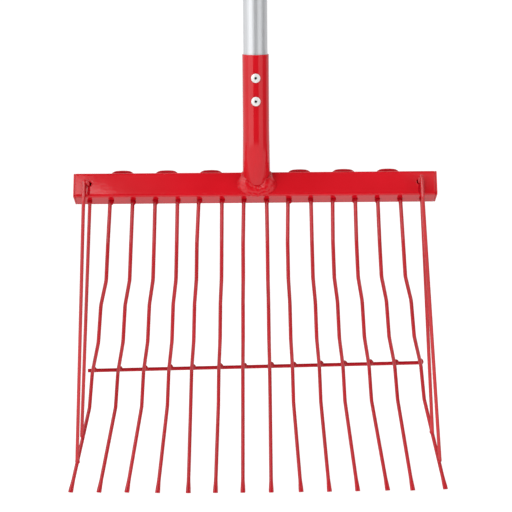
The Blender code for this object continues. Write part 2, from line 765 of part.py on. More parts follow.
def stand_on_origin(carrier):
    """Move the carrier so that the middle of the footprint is the origin."""
    bpy.context.view_layer.update()
    corners = [thing.matrix_world @ vert.co
               for thing in carrier.children if not thing.hide_render
               for vert in thing.data.vertices]
    lows = [min(corner[axis] for corner in corners) for axis in range(3)]
    highs = [max(corner[axis] for corner in corners) for axis in range(3)]
    carrier.location = (-(lows[0] + highs[0]) / 2, -(lows[1] + highs[1]) / 2, -lows[2])


def main():
    """Build the fork."""
    remove_everything()
    carrier = bpy.data.objects.new("fork", None)
    bpy.context.scene.collection.objects.link(carrier)
    red = make_finish("red powder coat", (0.62, 0.010, 0.018), 0.32, 0.0)
    aluminium = make_finish("bright drawn aluminium", (0.72, 0.73, 0.74), 0.30, 1.0)
    rivet_metal = make_finish("rivet aluminium", (0.82, 0.82, 0.80), 0.25, 1.0)
    mandrel_steel = make_finish("mandrel steel", (0.20, 0.20, 0.21), 0.45, 1.0)
    grip_plastic = make_finish("black grip plastic", (0.02, 0.02, 0.022), 0.55, 0.0)
    crown_cutters = [make_cutter(f"crown_clearance_{number + 1}", crown_clearance(2 * number), carrier)
                     for number in range(HAIRPINS)]
    build_crossbar(red, crown_cutters, carrier)
    build_tines(red, carrier)
    build_guards(red, carrier)
    socket = build_socket(red, crown_cutters[HAIRPINS // 2], carrier)
    handle = build_handle(aluminium, carrier)
    build_rivets(rivet_metal, mandrel_steel, socket, handle, carrier)
    build_grip(grip_plastic, carrier)
    stand_on_origin(carrier)


main()
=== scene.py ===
"""Looks of the manure fork: bent wire tines in a red crossbar, on a riveted aluminium handle."""

import logging
import math
from dataclasses import dataclass, field
from enum import Enum
from typing import Any, Sequence

import bmesh
import bpy
from bmesh.types import BMesh
from bpy.types import ID, Material, Node, NodeSocket, NodeTree, Object
from mathutils import Matrix, Vector, noise


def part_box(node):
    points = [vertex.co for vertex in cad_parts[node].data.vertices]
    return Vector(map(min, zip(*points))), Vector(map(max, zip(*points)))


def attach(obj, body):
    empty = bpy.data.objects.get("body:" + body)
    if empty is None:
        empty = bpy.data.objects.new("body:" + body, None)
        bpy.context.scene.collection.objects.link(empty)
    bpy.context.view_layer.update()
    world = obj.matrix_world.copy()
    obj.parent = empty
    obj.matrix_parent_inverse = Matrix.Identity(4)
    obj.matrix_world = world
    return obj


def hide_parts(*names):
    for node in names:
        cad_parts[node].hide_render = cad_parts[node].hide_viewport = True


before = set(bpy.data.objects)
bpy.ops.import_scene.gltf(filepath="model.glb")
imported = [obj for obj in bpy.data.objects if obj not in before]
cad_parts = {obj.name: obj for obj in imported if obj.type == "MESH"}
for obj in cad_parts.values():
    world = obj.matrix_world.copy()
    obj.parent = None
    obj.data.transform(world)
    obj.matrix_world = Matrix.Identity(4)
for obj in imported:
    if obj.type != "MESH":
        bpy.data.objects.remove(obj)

log = logging.getLogger("manure_fork")

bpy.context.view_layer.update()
BODY = "root"
X_AXIS = Vector((1, 0, 0))
Z_AXIS = Vector((0, 0, 1))

# Gap between pieces that seat on each other
SEAT = 0.0003
# Edges that fold less than this look round
ROUND = math.radians(40)

MATH = "ShaderNodeMath"
MAP_RANGE = "ShaderNodeMapRange"
# Noise stays between these nearly everywhere
NOISE_RANGE = {"From Min": 0.3, "From Max": 0.7}

# A radius and a height, or a distance along and across
Pair = tuple[float, float]


class Side(Enum):
    """Which end of the crossbar, seen from the front."""

    LEFT = -1
    RIGHT = 1

    def pick(self, pair: Sequence[Any]) -> Any:
        """Take this side's one of a left and a right value."""
        return pair[self is Side.RIGHT]


class Slot(Enum):
    """Material slots of the record."""

    RED = "red_powder_coat"
    TUBE = "drawn_aluminium"
    RIVET = "rivet_aluminium"
    MANDREL = "mandrel_steel"
    GRIP = "grip_plastic"


def linear(hex_colour: str) -> tuple[float, ...]:
    """Turn six sRGB hex digits into linear RGBA."""
    channels = [int(hex_colour[i:i + 2], 16) / 255 for i in (0, 2, 4)]
    return (*(c / 12.92 if c <= 0.04045 else ((c + 0.055) / 1.055) ** 2.4 for c in channels), 1.0)


def add_node(tree: NodeTree, kind: str, settings: dict[str, Any] | None = None,
             inputs: dict[Any, Any] | None = None) -> Node:
    """Add a node with its settings and links.

    Args:
        tree: The node tree to add to.
        kind: The node's type name.
        settings: Properties to set on the node.
        inputs: By name or number, a value, a socket, or a node whose first output is meant.

    Returns:
        The new node.
    """
    node = tree.nodes.new(kind)
    for name, value in (settings or {}).items():
        setattr(node, name, value)
    for key, value in (inputs or {}).items():
        source = value.outputs[0] if isinstance(value, Node) else value
        if isinstance(source, NodeSocket):
            tree.links.new(source, node.inputs[key])
        else:
            node.inputs[key].default_value = source
    return node


def arc(steps: int, turn: float = math.pi / 2) -> list[Pair]:
    """List cosine and sine at even steps of a turn, from its start to its end."""
    return [(math.cos(turn * i / steps), math.sin(turn * i / steps)) for i in range(steps + 1)]


def eased(value: float, low: float, high: float) -> float:
    """Find how far a value has come from low to high, from nought to one and eased at both ends."""
    share = min(max((value - low) / (high - low), 0.0), 1.0)
    return share * share * (3 - 2 * share)


def leaning(length: float, lean: float) -> Vector:
    """Step down by a length that leans forward of plumb."""
    return Vector((0, -length * math.sin(lean), -length * math.cos(lean)))


# Finishes


@dataclass(frozen=True)
class Finish:
    """A finish whose colour, roughness and relief follow noise on Object coordinates.

    Grain, clouds and relief are lengths in metres. The grain runs that many times longer along Z.
    """

    name: str
    dark: str
    light: str
    smoothest: float
    roughest: float
    grain: float
    relief: float = 0.0
    grain_run: float = 1.0
    detail: float = 2.0
    cloud: float | None = None
    metallic: float = 0.0
    gloss: float = 0.5
    glow: float = 0.0

    def pattern(self, tree: NodeTree, grain: float, detail: float) -> Node:
        """Add noise that runs along Z.

        Args:
            tree: The material's tree.
            grain: Size of a grain across.
            detail: The noise's detail.

        Returns:
            The noise's node.
        """
        place = add_node(tree, "ShaderNodeTexCoord").outputs["Object"]
        scale = (1 / grain, 1 / grain, 1 / (grain * self.grain_run))
        mapped = add_node(tree, "ShaderNodeMapping", inputs={"Vector": place, "Scale": scale})
        return add_node(tree, "ShaderNodeTexNoise", inputs={"Vector": mapped, "Scale": 1.0, "Detail": detail})

    def material(self) -> Material:
        """Make the material.

        Returns:
            A material whose colour goes from dark to light over the clouds, or over the grain where
            it has no clouds. The grain sets its relief, and its roughness where that varies.
        """
        material = bpy.data.materials.new(self.name)
        material.use_nodes = True
        tree = material.node_tree
        tree.nodes.clear()
        grain = self.pattern(tree, self.grain, self.detail)
        cloud = self.pattern(tree, self.cloud, 2.0) if self.cloud else grain
        share = add_node(tree, MAP_RANGE, inputs={"Value": cloud, **NOISE_RANGE})
        roughness = self.roughest
        if self.smoothest < self.roughest:
            roughness = add_node(tree, MAP_RANGE, inputs={
                "Value": grain, **NOISE_RANGE, "To Min": self.smoothest, "To Max": self.roughest})
        colour = add_node(tree, "ShaderNodeMix", {"data_type": "RGBA"},
                          {0: share, 6: linear(self.dark), 7: linear(self.light)})
        shader = add_node(tree, "ShaderNodeBsdfPrincipled", inputs={
            "Base Color": colour.outputs[2], "Roughness": roughness, "Metallic": self.metallic,
            "Specular IOR Level": self.gloss, "Emission Strength": self.glow})
        if self.relief:
            bump = add_node(tree, "ShaderNodeBump", inputs={"Height": grain, "Distance": self.relief, "Strength": 1.0})
            tree.links.new(bump.outputs["Normal"], shader.inputs["Normal"])
        add_node(tree, "ShaderNodeOutputMaterial", inputs={"Surface": shader})
        return material


@dataclass(frozen=True)
class PowderCoat(Finish):
    """Polyester powder coat, baked on steel: an even, saturated red with a glossy skin.

    The powder flows into a faint orange peel, which is drawn at 3 mm so that it frays the edges of
    reflections. Darker copies of it are painted shade: one on the wires, and a dull one on the welds
    under the bar and on the guards' ribs.
    """

    name: str = "red polyester powder coat"
    dark: str = "C40B19"
    light: str = "CE0E1E"
    smoothest: float = 0.03
    roughest: float = 0.05
    grain: float = 0.0034
    relief: float = 0.000009
    detail: float = 1.0
    cloud: float | None = 0.060


@dataclass(frozen=True)
class DrawnAluminium(Finish):
    """Drawn aluminium: bright metal with faint die lines along the tube.

    Its anodised skin scatters a part of the light. Real lines are a tenth of a millimetre apart:
    they are drawn at 1 mm so that they show.
    """

    name: str = "drawn aluminium"
    dark: str = "D3D5D8"
    light: str = "E6E8EA"
    smoothest: float = 0.37
    roughest: float = 0.45
    grain: float = 0.0010
    relief: float = 0.000006
    grain_run: float = 120.0
    metallic: float = 0.75


@dataclass(frozen=True)
class PressedMetal(Finish):
    """Pressed metal: the faint mottle that a setting tool's nose leaves on rivets and mandrels.

    Where it was tumbled white it scatters a part of the light, so it is less than fully metallic.
    """

    grain: float = 0.0006
    relief: float = 0.00001
    metallic: float = 1.0


@dataclass(frozen=True)
class MouldedPlastic(Finish):
    """Moulded polypropylene: near black, with the fine grain of its mould, which broadens highlights."""

    name: str = "black moulded polypropylene"
    dark: str = "17181A"
    light: str = "222326"
    smoothest: float = 0.42
    roughest: float = 0.55
    grain: float = 0.0008
    relief: float = 0.00006


@dataclass(frozen=True)
class StudioPaper(Finish):
    """Matt white paper that glows from within, so that it stays evenly white and takes no shadow."""

    name: str = "white studio paper"
    dark: str = "B2B2B2"
    light: str = "B6B6B6"
    smoothest: float = 0.9
    roughest: float = 0.9
    grain: float = 0.004
    gloss: float = 0.1
    glow: float = 0.74


@dataclass(frozen=True)
class Finishes:
    """The fork's finishes, made once."""

    red: Material
    # Darker copy of the red coat: painted shade on the tines, the rod and their welds
    wire: Material
    # Darker copy of the red coat: painted shade on the guards, with more gloss
    guard: Material
    # Dark, dull copy of the red coat: painted shade on the welds under the bar and on the guard ribs
    pool: Material
    tube: Material
    rivet: Material
    mandrel: Material
    grip: Material


# Mesh helpers


def put(name: str, data: ID) -> Object:
    """Put an object into the scene.

    Args:
        name: The object's name.
        data: The mesh, light or camera that it carries.

    Returns:
        The object.
    """
    thing = bpy.data.objects.new(name, data)
    bpy.context.scene.collection.objects.link(thing)
    return thing


def to_object(name: str, bm: BMesh, finish: Material,
              smooth_below: float = ROUND) -> Object:
    """Turn a bmesh into a smooth-shaded object at the origin.

    Args:
        name: The object's name.
        bm: Its mesh, which is freed.
        finish: Its material.
        smooth_below: Angle above which an edge stays sharp.

    Returns:
        The object.
    """
    bmesh.ops.recalc_face_normals(bm, faces=bm.faces)
    mesh = bpy.data.meshes.new(name)
    bm.to_mesh(mesh)
    bm.free()
    mesh.materials.append(finish)
    mesh.shade_smooth()
    mesh.set_sharp_from_angle(angle=smooth_below)
    return put(name, mesh)


def baked(thing: Object, smooth_below: float) -> Object:
    """Replace an object's mesh by what its modifiers make of it.

    Args:
        thing: An object with modifiers.
        smooth_below: Angle above which an edge stays sharp.

    Returns:
        The same object, with a plain mesh and no modifiers.
    """
    evaluated = thing.evaluated_get(bpy.context.evaluated_depsgraph_get())
    mesh = bpy.data.meshes.new_from_object(evaluated)
    thing.modifiers.clear()
    thing.data = mesh
    mesh.shade_smooth()
    mesh.set_sharp_from_angle(angle=smooth_below)
    return thing


def drilled(thing: Object, cutters: Sequence[Object],
            smooth_below: float = ROUND) -> Object:
    """Cut objects out of an object and delete them.

    Args:
        thing: The object to cut.
        cutters: What to take out of it.
        smooth_below: Angle above which an edge stays sharp.

    Returns:
        The cut object.
    """
    for cutter in cutters:
        cut = thing.modifiers.new("Cut", "BOOLEAN")
        cut.operation = "DIFFERENCE"
        cut.solver = "EXACT"
        cut.object = cutter
    baked(thing, smooth_below)
    for cutter in cutters:
        bpy.data.objects.remove(cutter, do_unlink=True)
    return thing


def drills(name: str, ends: Sequence[tuple[Vector, Vector]], radius: float,
           finish: Material) -> Object:
    """Make round cutters.

    Args:
        name: The object's name.
        ends: Where each begins and ends.
        radius: Their radius.
        finish: Their material.

    Returns:
        The cutters as one object.
    """
    bm = bmesh.new()
    for start, end in ends:
        place = Z_AXIS.rotation_difference(end - start).to_matrix().to_4x4()
        place.translation = (start + end) / 2
        bmesh.ops.create_cone(bm, cap_ends=True, segments=32, radius1=radius, radius2=radius,
                              depth=(end - start).length, matrix=place)
    return to_object(name, bm, finish)


def lofted(rings: Sequence[Sequence[Vector]], closed_path: bool = False) -> BMesh:
    """Skin a row of rings.

    Args:
        rings: Rings with as many points each.
        closed_path: Whether the last ring joins the first, in place of a cap at each end.

    Returns:
        The skinned bmesh.
    """
    bm = bmesh.new()
    verts = [[bm.verts.new(point) for point in ring] for ring in rings]
    for ring, after in zip(verts, verts[1:] + verts[:1] if closed_path else verts[1:]):
        for i, vert in enumerate(ring):
            j = (i + 1) % len(ring)
            bm.faces.new((vert, ring[j], after[j], after[i]))
    if not closed_path:
        bm.faces.new(list(reversed(verts[0])))
        bm.faces.new(verts[-1])
    return bm


def turned(profile: Sequence[Pair], sides: int, place: Matrix = Matrix()) -> BMesh:
    """Turn a profile of radius and height round Z.

    Args:
        profile: Points from one end on the axis, or back to the first point round a bore.
        sides: Steps of the turn.
        place: Where the turned piece goes.

    Returns:
        The turned bmesh.
    """
    bm = bmesh.new()
    verts = [bm.verts.new((radius, 0, height)) for radius, height in profile]
    edges = [bm.edges.new(pair) for pair in zip(verts, verts[1:])]
    if profile[0][0] > 0:
        edges.append(bm.edges.new((verts[-1], verts[0])))
    bmesh.ops.spin(bm, geom=verts + edges, axis=(0, 0, 1), cent=(0, 0, 0), steps=sides,
                   angle=2 * math.pi, use_merge=True)
    bmesh.ops.remove_doubles(bm, verts=bm.verts, dist=1e-7)
    bmesh.ops.transform(bm, matrix=place, verts=bm.verts)
    return bm


def grown(name: str, points: Sequence[Vector], tree: NodeTree, values: dict[str, Any],
          attributes: dict[str, Sequence[Any]], joined: bool = False, smooth_below: float = ROUND) -> Object:
    """Run a Geometry Nodes tree on points and keep what it makes as a plain mesh.

    Args:
        name: The object's name.
        points: The points' places.
        tree: The tree.
        values: The tree's inputs by name.
        attributes: One number or vector a point for each named attribute.
        joined: Whether edges join the points into a line.
        smooth_below: Angle above which an edge stays sharp.

    Returns:
        The object with its made mesh.
    """
    mesh = bpy.data.meshes.new(name)
    mesh.from_pydata(points, [(i, i + 1) for i in range(len(points) - 1)] if joined else [], [])
    for label, data in attributes.items():
        if isinstance(data[0], Vector):
            mesh.attributes.new(label, "FLOAT_VECTOR", "POINT").data.foreach_set("vector", [c for v in data for c in v])
        else:
            mesh.attributes.new(label, "FLOAT", "POINT").data.foreach_set("value", [float(v) for v in data])
    thing = put(name, mesh)
    modifier = thing.modifiers.new(tree.name, "NODES")
    modifier.node_group = tree
    for item in tree.interface.items_tree:
        if item.item_type == "SOCKET" and item.in_out == "INPUT" and item.name in values:
            modifier[item.identifier] = values[item.name]
    return baked(thing, smooth_below)


def finished(piece: Object, slot: Slot, *nodes: str) -> None:
    """Hand a piece to the frame and report it.

    Args:
        piece: The finished piece.
        slot: The record's slot for it; not used.
        nodes: CAD nodes that it stands for.
    """
    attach(piece, BODY)
    if nodes:
        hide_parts(*nodes)
    log.info("%s: %d faces, in place of %s", piece.name, len(piece.data.polygons), ", ".join(nodes) or "nothing")


# Geometry Nodes


def new_tree(name: str, *sockets: tuple[str, str, Any]) -> tuple[NodeTree, Node]:
    """Make a Geometry Nodes tree that takes geometry, its own inputs and a finish.

    Args:
        name: The tree's name.
        sockets: Name, type and default of each own input.

    Returns:
        The tree and its Group Input node.
    """
    tree = bpy.data.node_groups.new(name, "GeometryNodeTree")
    for label, kind, default in (("Geometry", "Geometry", None), *sockets, ("Finish", "Material", None)):
        socket = tree.interface.new_socket(label, in_out="INPUT", socket_type=f"NodeSocket{kind}")
        if default is not None:
            socket.default_value = default
    tree.interface.new_socket("Geometry", in_out="OUTPUT", socket_type="NodeSocketGeometry")
    return tree, add_node(tree, "NodeGroupInput")


def end_tree(tree: NodeTree, group: Node, made: Node) -> NodeTree:
    """Close a tree with Realize Instances, Set Material and its output.

    Args:
        tree: The tree.
        group: Its Group Input node.
        made: The node that gives what it has made.

    Returns:
        The tree.
    """
    real = add_node(tree, "GeometryNodeRealizeInstances", inputs={"Geometry": made})
    dressed = add_node(tree, "GeometryNodeSetMaterial",
                       inputs={"Geometry": real, "Material": group.outputs["Finish"]})
    add_node(tree, "NodeGroupOutput", inputs={"Geometry": dressed})
    return tree


def bent_wire_tree() -> NodeTree:
    """Make the tree that bends round wire along a line of corners.

    Returns:
        A tree that reads the attributes bend, thick and flat at each corner. It rounds the corners,
        sweeps a circle along them, and hammers the wire wide and thin where flat is above nought.
    """
    tree, group = new_tree("bent wire", ("Sides", "Int", 20), ("Bend Steps", "Int", 9),
                           ("Flat Width", "Float", 1.33), ("Flat Thickness", "Float", 0.71))
    bend, thick, flat = (add_node(tree, "GeometryNodeInputNamedAttribute", inputs={"Name": label})
                         for label in ("bend", "thick", "flat"))
    line = add_node(tree, "GeometryNodeMeshToCurve", inputs={"Mesh": group})
    rounded = add_node(tree, "GeometryNodeFilletCurve", {"mode": "POLY"}, {
        "Curve": line, "Count": group.outputs["Bend Steps"], "Radius": bend, "Limit Radius": True})
    place = add_node(tree, "GeometryNodeInputPosition")
    spine = add_node(tree, "GeometryNodeCaptureAttribute", {"domain": "POINT"}, {"Geometry": rounded})
    spine.capture_items.new("VECTOR", "Spine")
    tree.links.new(place.outputs[0], spine.inputs["Spine"])
    circle = add_node(tree, "GeometryNodeCurvePrimitiveCircle", {"mode": "RADIUS"},
                      {"Resolution": group.outputs["Sides"], "Radius": 1.0})
    swept = add_node(tree, "GeometryNodeCurveToMesh", inputs={
        "Curve": spine, "Profile Curve": circle, "Scale": thick, "Fill Caps": True})
    wide, thin = (add_node(tree, "ShaderNodeMix", {"data_type": "FLOAT"}, {0: flat, 2: 1.0, 3: group.outputs[label]})
                  for label in ("Flat Width", "Flat Thickness"))
    factor = add_node(tree, "ShaderNodeCombineXYZ", inputs={"X": wide, "Y": thin, "Z": thin})
    reach = add_node(tree, "ShaderNodeVectorMath", {"operation": "SUBTRACT"}, {0: place, 1: spine.outputs["Spine"]})
    hammered = add_node(tree, "ShaderNodeVectorMath", {"operation": "MULTIPLY_ADD"},
                        {0: reach, 1: factor, 2: spine.outputs["Spine"]})
    moved = add_node(tree, "GeometryNodeSetPosition", inputs={"Geometry": swept, "Position": hammered})
    return end_tree(tree, group, moved)


def weld_tree() -> NodeTree:
    """Make the tree that lays lumpy weld nuggets.

    Returns:
        A tree that puts a squashed ball at each point, turned by the attribute turn, and then swells
        its skin here and there as molten metal does.
    """
    tree, group = new_tree("weld nuggets", ("Rounds", "Int", 4), ("Size", "Vector", None),
                           ("Lump", "Float", 0.0022), ("Swell", "Float", 0.0009), ("Seed", "Float", 7.0))
    ball = add_node(tree, "GeometryNodeMeshIcoSphere", inputs={"Radius": 1.0, "Subdivisions": group.outputs["Rounds"]})
    points = add_node(tree, "GeometryNodeMeshToPoints", inputs={"Mesh": group})
    turn = add_node(tree, "GeometryNodeInputNamedAttribute", {"data_type": "FLOAT_VECTOR"}, {"Name": "turn"})
    laid = add_node(tree, "GeometryNodeInstanceOnPoints", inputs={
        "Points": points, "Instance": ball, "Rotation": turn, "Scale": group.outputs["Size"]})
    real = add_node(tree, "GeometryNodeRealizeInstances", inputs={"Geometry": laid})
    place = add_node(tree, "GeometryNodeInputPosition")
    grain = add_node(tree, MATH, {"operation": "DIVIDE"}, {0: 1.0, 1: group.outputs["Lump"]})
    lumps = add_node(tree, "ShaderNodeTexNoise", {"noise_dimensions": "4D"}, {
        "Vector": place, "W": group.outputs["Seed"], "Scale": grain, "Detail": 1.0})
    centred = add_node(tree, MATH, {"operation": "SUBTRACT"}, {0: lumps, 1: 0.5})
    height = add_node(tree, MATH, {"operation": "MULTIPLY"}, {0: centred, 1: group.outputs["Swell"]})
    outward = add_node(tree, "GeometryNodeInputNormal")
    rise = add_node(tree, "ShaderNodeVectorMath", {"operation": "SCALE"}, {0: outward, 3: height})
    return end_tree(tree, group, add_node(tree, "GeometryNodeSetPosition", inputs={"Geometry": real, "Offset": rise}))


def set_parts_tree() -> NodeTree:
    """Make the tree that sets the same turned part at each point.

    Returns:
        A tree with the part as an object input and the turn of its axis.
    """
    tree, group = new_tree("set parts", ("Part", "Object", None), ("Turn", "Vector", None))
    part = add_node(tree, "GeometryNodeObjectInfo", {"transform_space": "ORIGINAL"}, {"Object": group.outputs["Part"]})
    points = add_node(tree, "GeometryNodeMeshToPoints", inputs={"Mesh": group})
    laid = add_node(tree, "GeometryNodeInstanceOnPoints", inputs={
        "Points": points, "Instance": part.outputs["Geometry"], "Rotation": group.outputs["Turn"]})
    return end_tree(tree, group, laid)


# Sub-assemblies


@dataclass(frozen=True)
class Corner:
    """A corner or a change of section on a wire's centre line."""

    point: Vector
    thick: float
    bend: float = 0.0
    flat: float = 0.0


@dataclass
class Bench:
    """Where wires are bent, welds laid and turned parts set."""

    finishes: Finishes
    wires: NodeTree = field(default_factory=bent_wire_tree)
    nuggets: NodeTree = field(default_factory=weld_tree)
    setter: NodeTree = field(default_factory=set_parts_tree)

    def wire(self, name: str, corners: Sequence[Corner], finish: Material | None = None) -> Object:
        """Bend one wire.

        Args:
            name: The piece's name.
            corners: Its corners from end to end.
            finish: Its material, or none for the darker coat on wire, which is painted shade.

        Returns:
            The wire.
        """
        shape = {label: [getattr(corner, label) for corner in corners] for label in ("thick", "bend", "flat")}
        return grown(name, [corner.point for corner in corners], self.wires,
                     {"Finish": finish or self.finishes.wire}, shape, joined=True)

    def welds(self, name: str, middles: Sequence[Vector], turns: Sequence[Vector], size: Sequence[float],
              finish: Material, swell: float = 0.0009, seed: float = 7.0) -> Object:
        """Lay weld nuggets.

        Args:
            name: The piece's name.
            middles: Where they lie.
            turns: Each one's Euler turn.
            size: Half sizes of each, along its own axes.
            finish: Their material.
            swell: How far the lumps stand out.
            seed: Seed of the lumps.

        Returns:
            All the nuggets as one piece.
        """
        return grown(name, middles, self.nuggets, {"Size": size, "Swell": swell, "Seed": seed, "Finish": finish},
                     {"turn": turns}, smooth_below=math.radians(80))

    def parts(self, name: str, places: Sequence[Vector], profile: Sequence[Pair], turn: float,
              finish: Material, sides: int = 48, smooth_below: float = math.radians(50)) -> Object:
        """Turn a part and set it at each place.

        Args:
            name: The piece's name.
            places: Where the parts go.
            profile: Half a part's section, as radius and height.
            turn: Turn of a part's axis from upright round X.
            finish: Its material.
            sides: Steps of the turning.
            smooth_below: Angle above which an edge stays sharp.

        Returns:
            All the parts as one piece.
        """
        part = to_object(name + "_one", turned(profile, sides), finish)
        piece = grown(name, places, self.setter, {"Part": part, "Turn": (turn, 0.0, 0.0), "Finish": finish},
                      {}, smooth_below=smooth_below)
        bpy.data.objects.remove(part, do_unlink=True)
        return piece


def square_ring(x: float, side: float, corner: float) -> list[Vector]:
    """Draw a rounded square across the bar, in the bar's own axes.

    Args:
        x: Where along the bar.
        side: The square's side.
        corner: Radius of its corners.

    Returns:
        The ring's points, with a narrow strip beside each corner that keeps the faces' shading flat.
    """
    reach = side / 2 - corner
    strip = reach - 0.0003
    quarter = [(side / 2, strip), *((reach + corner * c, reach + corner * s) for c, s in arc(8)), (strip, side / 2)]
    return [Matrix.Rotation(turn * math.pi / 2, 3, "X") @ Vector((x, y, z)) for turn in range(4) for y, z in quarter]


@dataclass(frozen=True)
class BarPlace:
    """Places measured from the crossbar, which is turned so that its front looks up."""

    middle: Vector
    tilt: float = math.radians(29)
    half: float = 0.015

    def at(self, x: float, front: float, down: float) -> Vector:
        """Find a place by how far along the bar, out of its front and down along its front it is."""
        sine, cosine = math.sin(self.tilt), math.cos(self.tilt)
        return self.middle + Vector((x, -front * cosine - down * sine, front * sine - down * cosine))

    def axis(self, front: float, down: float) -> Vector:
        """Find a direction across the bar."""
        return (self.at(0, front, down) - self.middle).normalized()

    def skinned(self, name: str, rings: Sequence[Sequence[Vector]], finish: Material,
                closed_path: bool = False, move: Vector = Vector()) -> Object:
        """Skin rings that are drawn in the bar's own axes.

        Args:
            name: The object's name.
            rings: The rings.
            finish: Its material.
            closed_path: Whether the last ring joins the first.
            move: A move in the bar's own axes.

        Returns:
            The skinned object in its place.
        """
        bm = lofted(rings, closed_path)
        own = Matrix.Translation(self.middle) @ Matrix.Rotation(-self.tilt, 4, "X")
        bmesh.ops.transform(bm, matrix=own @ Matrix.Translation(move), verts=bm.verts)
        return to_object(name, bm, finish)


@dataclass
class Crossbar:
    """Square steel tube with its wire holes, closed by a plate at each end."""

    place: BarPlace
    bench: Bench
    side: float = 0.030
    wall: float = 0.002
    corner: float = 0.003
    length: float = 0.4325
    plate: float = 0.002
    edge: float = 0.0006
    low_hole: float = 0.0025
    low_holes: Pair = (-0.19775, 0.19875)
    front_hole: float = 0.0031
    front_holes: Pair = (-0.19755, 0.19475)
    front_hole_rise: float = 0.0006
    lip: float = 0.0006

    def tube(self, tine_xs: Sequence[float], clearances: Sequence[Object]) -> Object:
        """Make the tube with its holes.

        Args:
            tine_xs: Where the tines leave the bar.
            clearances: Cutters that make room for the hairpins.

        Returns:
            The tube.
        """
        end = self.length / 2 - self.plate - SEAT
        flat_end = end - 2 * self.edge
        between = [(x1 + x2) / 2 for x1, x2 in zip(tine_xs, tine_xs[1:])]
        outer = [square_ring(x, self.side, self.corner)
                 for x in (self.edge - end, -flat_end, *between, flat_end, end - self.edge)]
        ends = [square_ring(x, self.side - self.edge, self.corner) for x in (-end, end)]
        inner = [square_ring(x, self.side - 2 * self.wall, self.corner - self.wall / 2) for x in (end, -end)]
        red, at, rise = self.bench.finishes.red, self.place.at, self.front_hole_rise
        bar = self.place.skinned("crossbar_tube", [ends[0], *outer, ends[1], *inner], red, closed_path=True)
        low = drills("guard_drill_low", [(at(x, 0, 0), at(x, 0, self.side)) for x in self.low_holes],
                     self.low_hole, red)
        front = drills("guard_drill_front", [(at(x, 0, -rise), at(x, self.side, -rise)) for x in self.front_holes],
                       self.front_hole, red)
        return drilled(bar, [*clearances, low, front], math.radians(30))

    def end_plate(self, side: Side) -> Object:
        """Make the plate that closes one end.

        Args:
            side: Which end.

        Returns:
            The plate, with the soft outer edge that its coat gives it.
        """
        half = self.length / 2
        rings = [square_ring(side.value * (half - self.plate), self.side, self.corner)]
        for c, s in arc(4):
            inset = self.edge * (1 - c)
            x = side.value * (half - self.edge * (1 - s))
            rings.append(square_ring(x, self.side - 2 * inset, self.corner - inset))
        return self.place.skinned(f"bar_end_plate_{side.name.lower()}", rings, self.bench.finishes.red)

    def lips(self) -> Object:
        """Make the rolled lips where the guards leave the front face.

        Returns:
            Both lips as one piece.
        """
        radius = self.front_hole + self.lip * 0.4
        profile = [(radius + self.lip * c, self.lip * s) for c, s in arc(8, 2 * math.pi)[:-1]]
        places = [self.place.at(x, self.place.half, -self.front_hole_rise) for x in self.front_holes]
        return self.bench.parts("guard_hole_lips", places, profile, math.pi / 2 - self.place.tilt,
                                self.bench.finishes.red, 40, math.radians(80))

    def build(self, tine_xs: Sequence[float], clearances: Sequence[Object]) -> None:
        """Build and dress the crossbar.

        Args:
            tine_xs: Where the tines leave the bar.
            clearances: Cutters that make room for the hairpins.
        """
        finished(self.tube(tine_xs, clearances), Slot.RED, "crossbar")
        for side in Side:
            finished(self.end_plate(side), Slot.RED, f"crossbar_end_plate_{side.name.lower()}")
        finished(self.lips(), Slot.RED)


@dataclass(frozen=True)
class Run:
    """A straight run of every tine, down to its next bend."""

    length: float
    lean: float
    fan: float


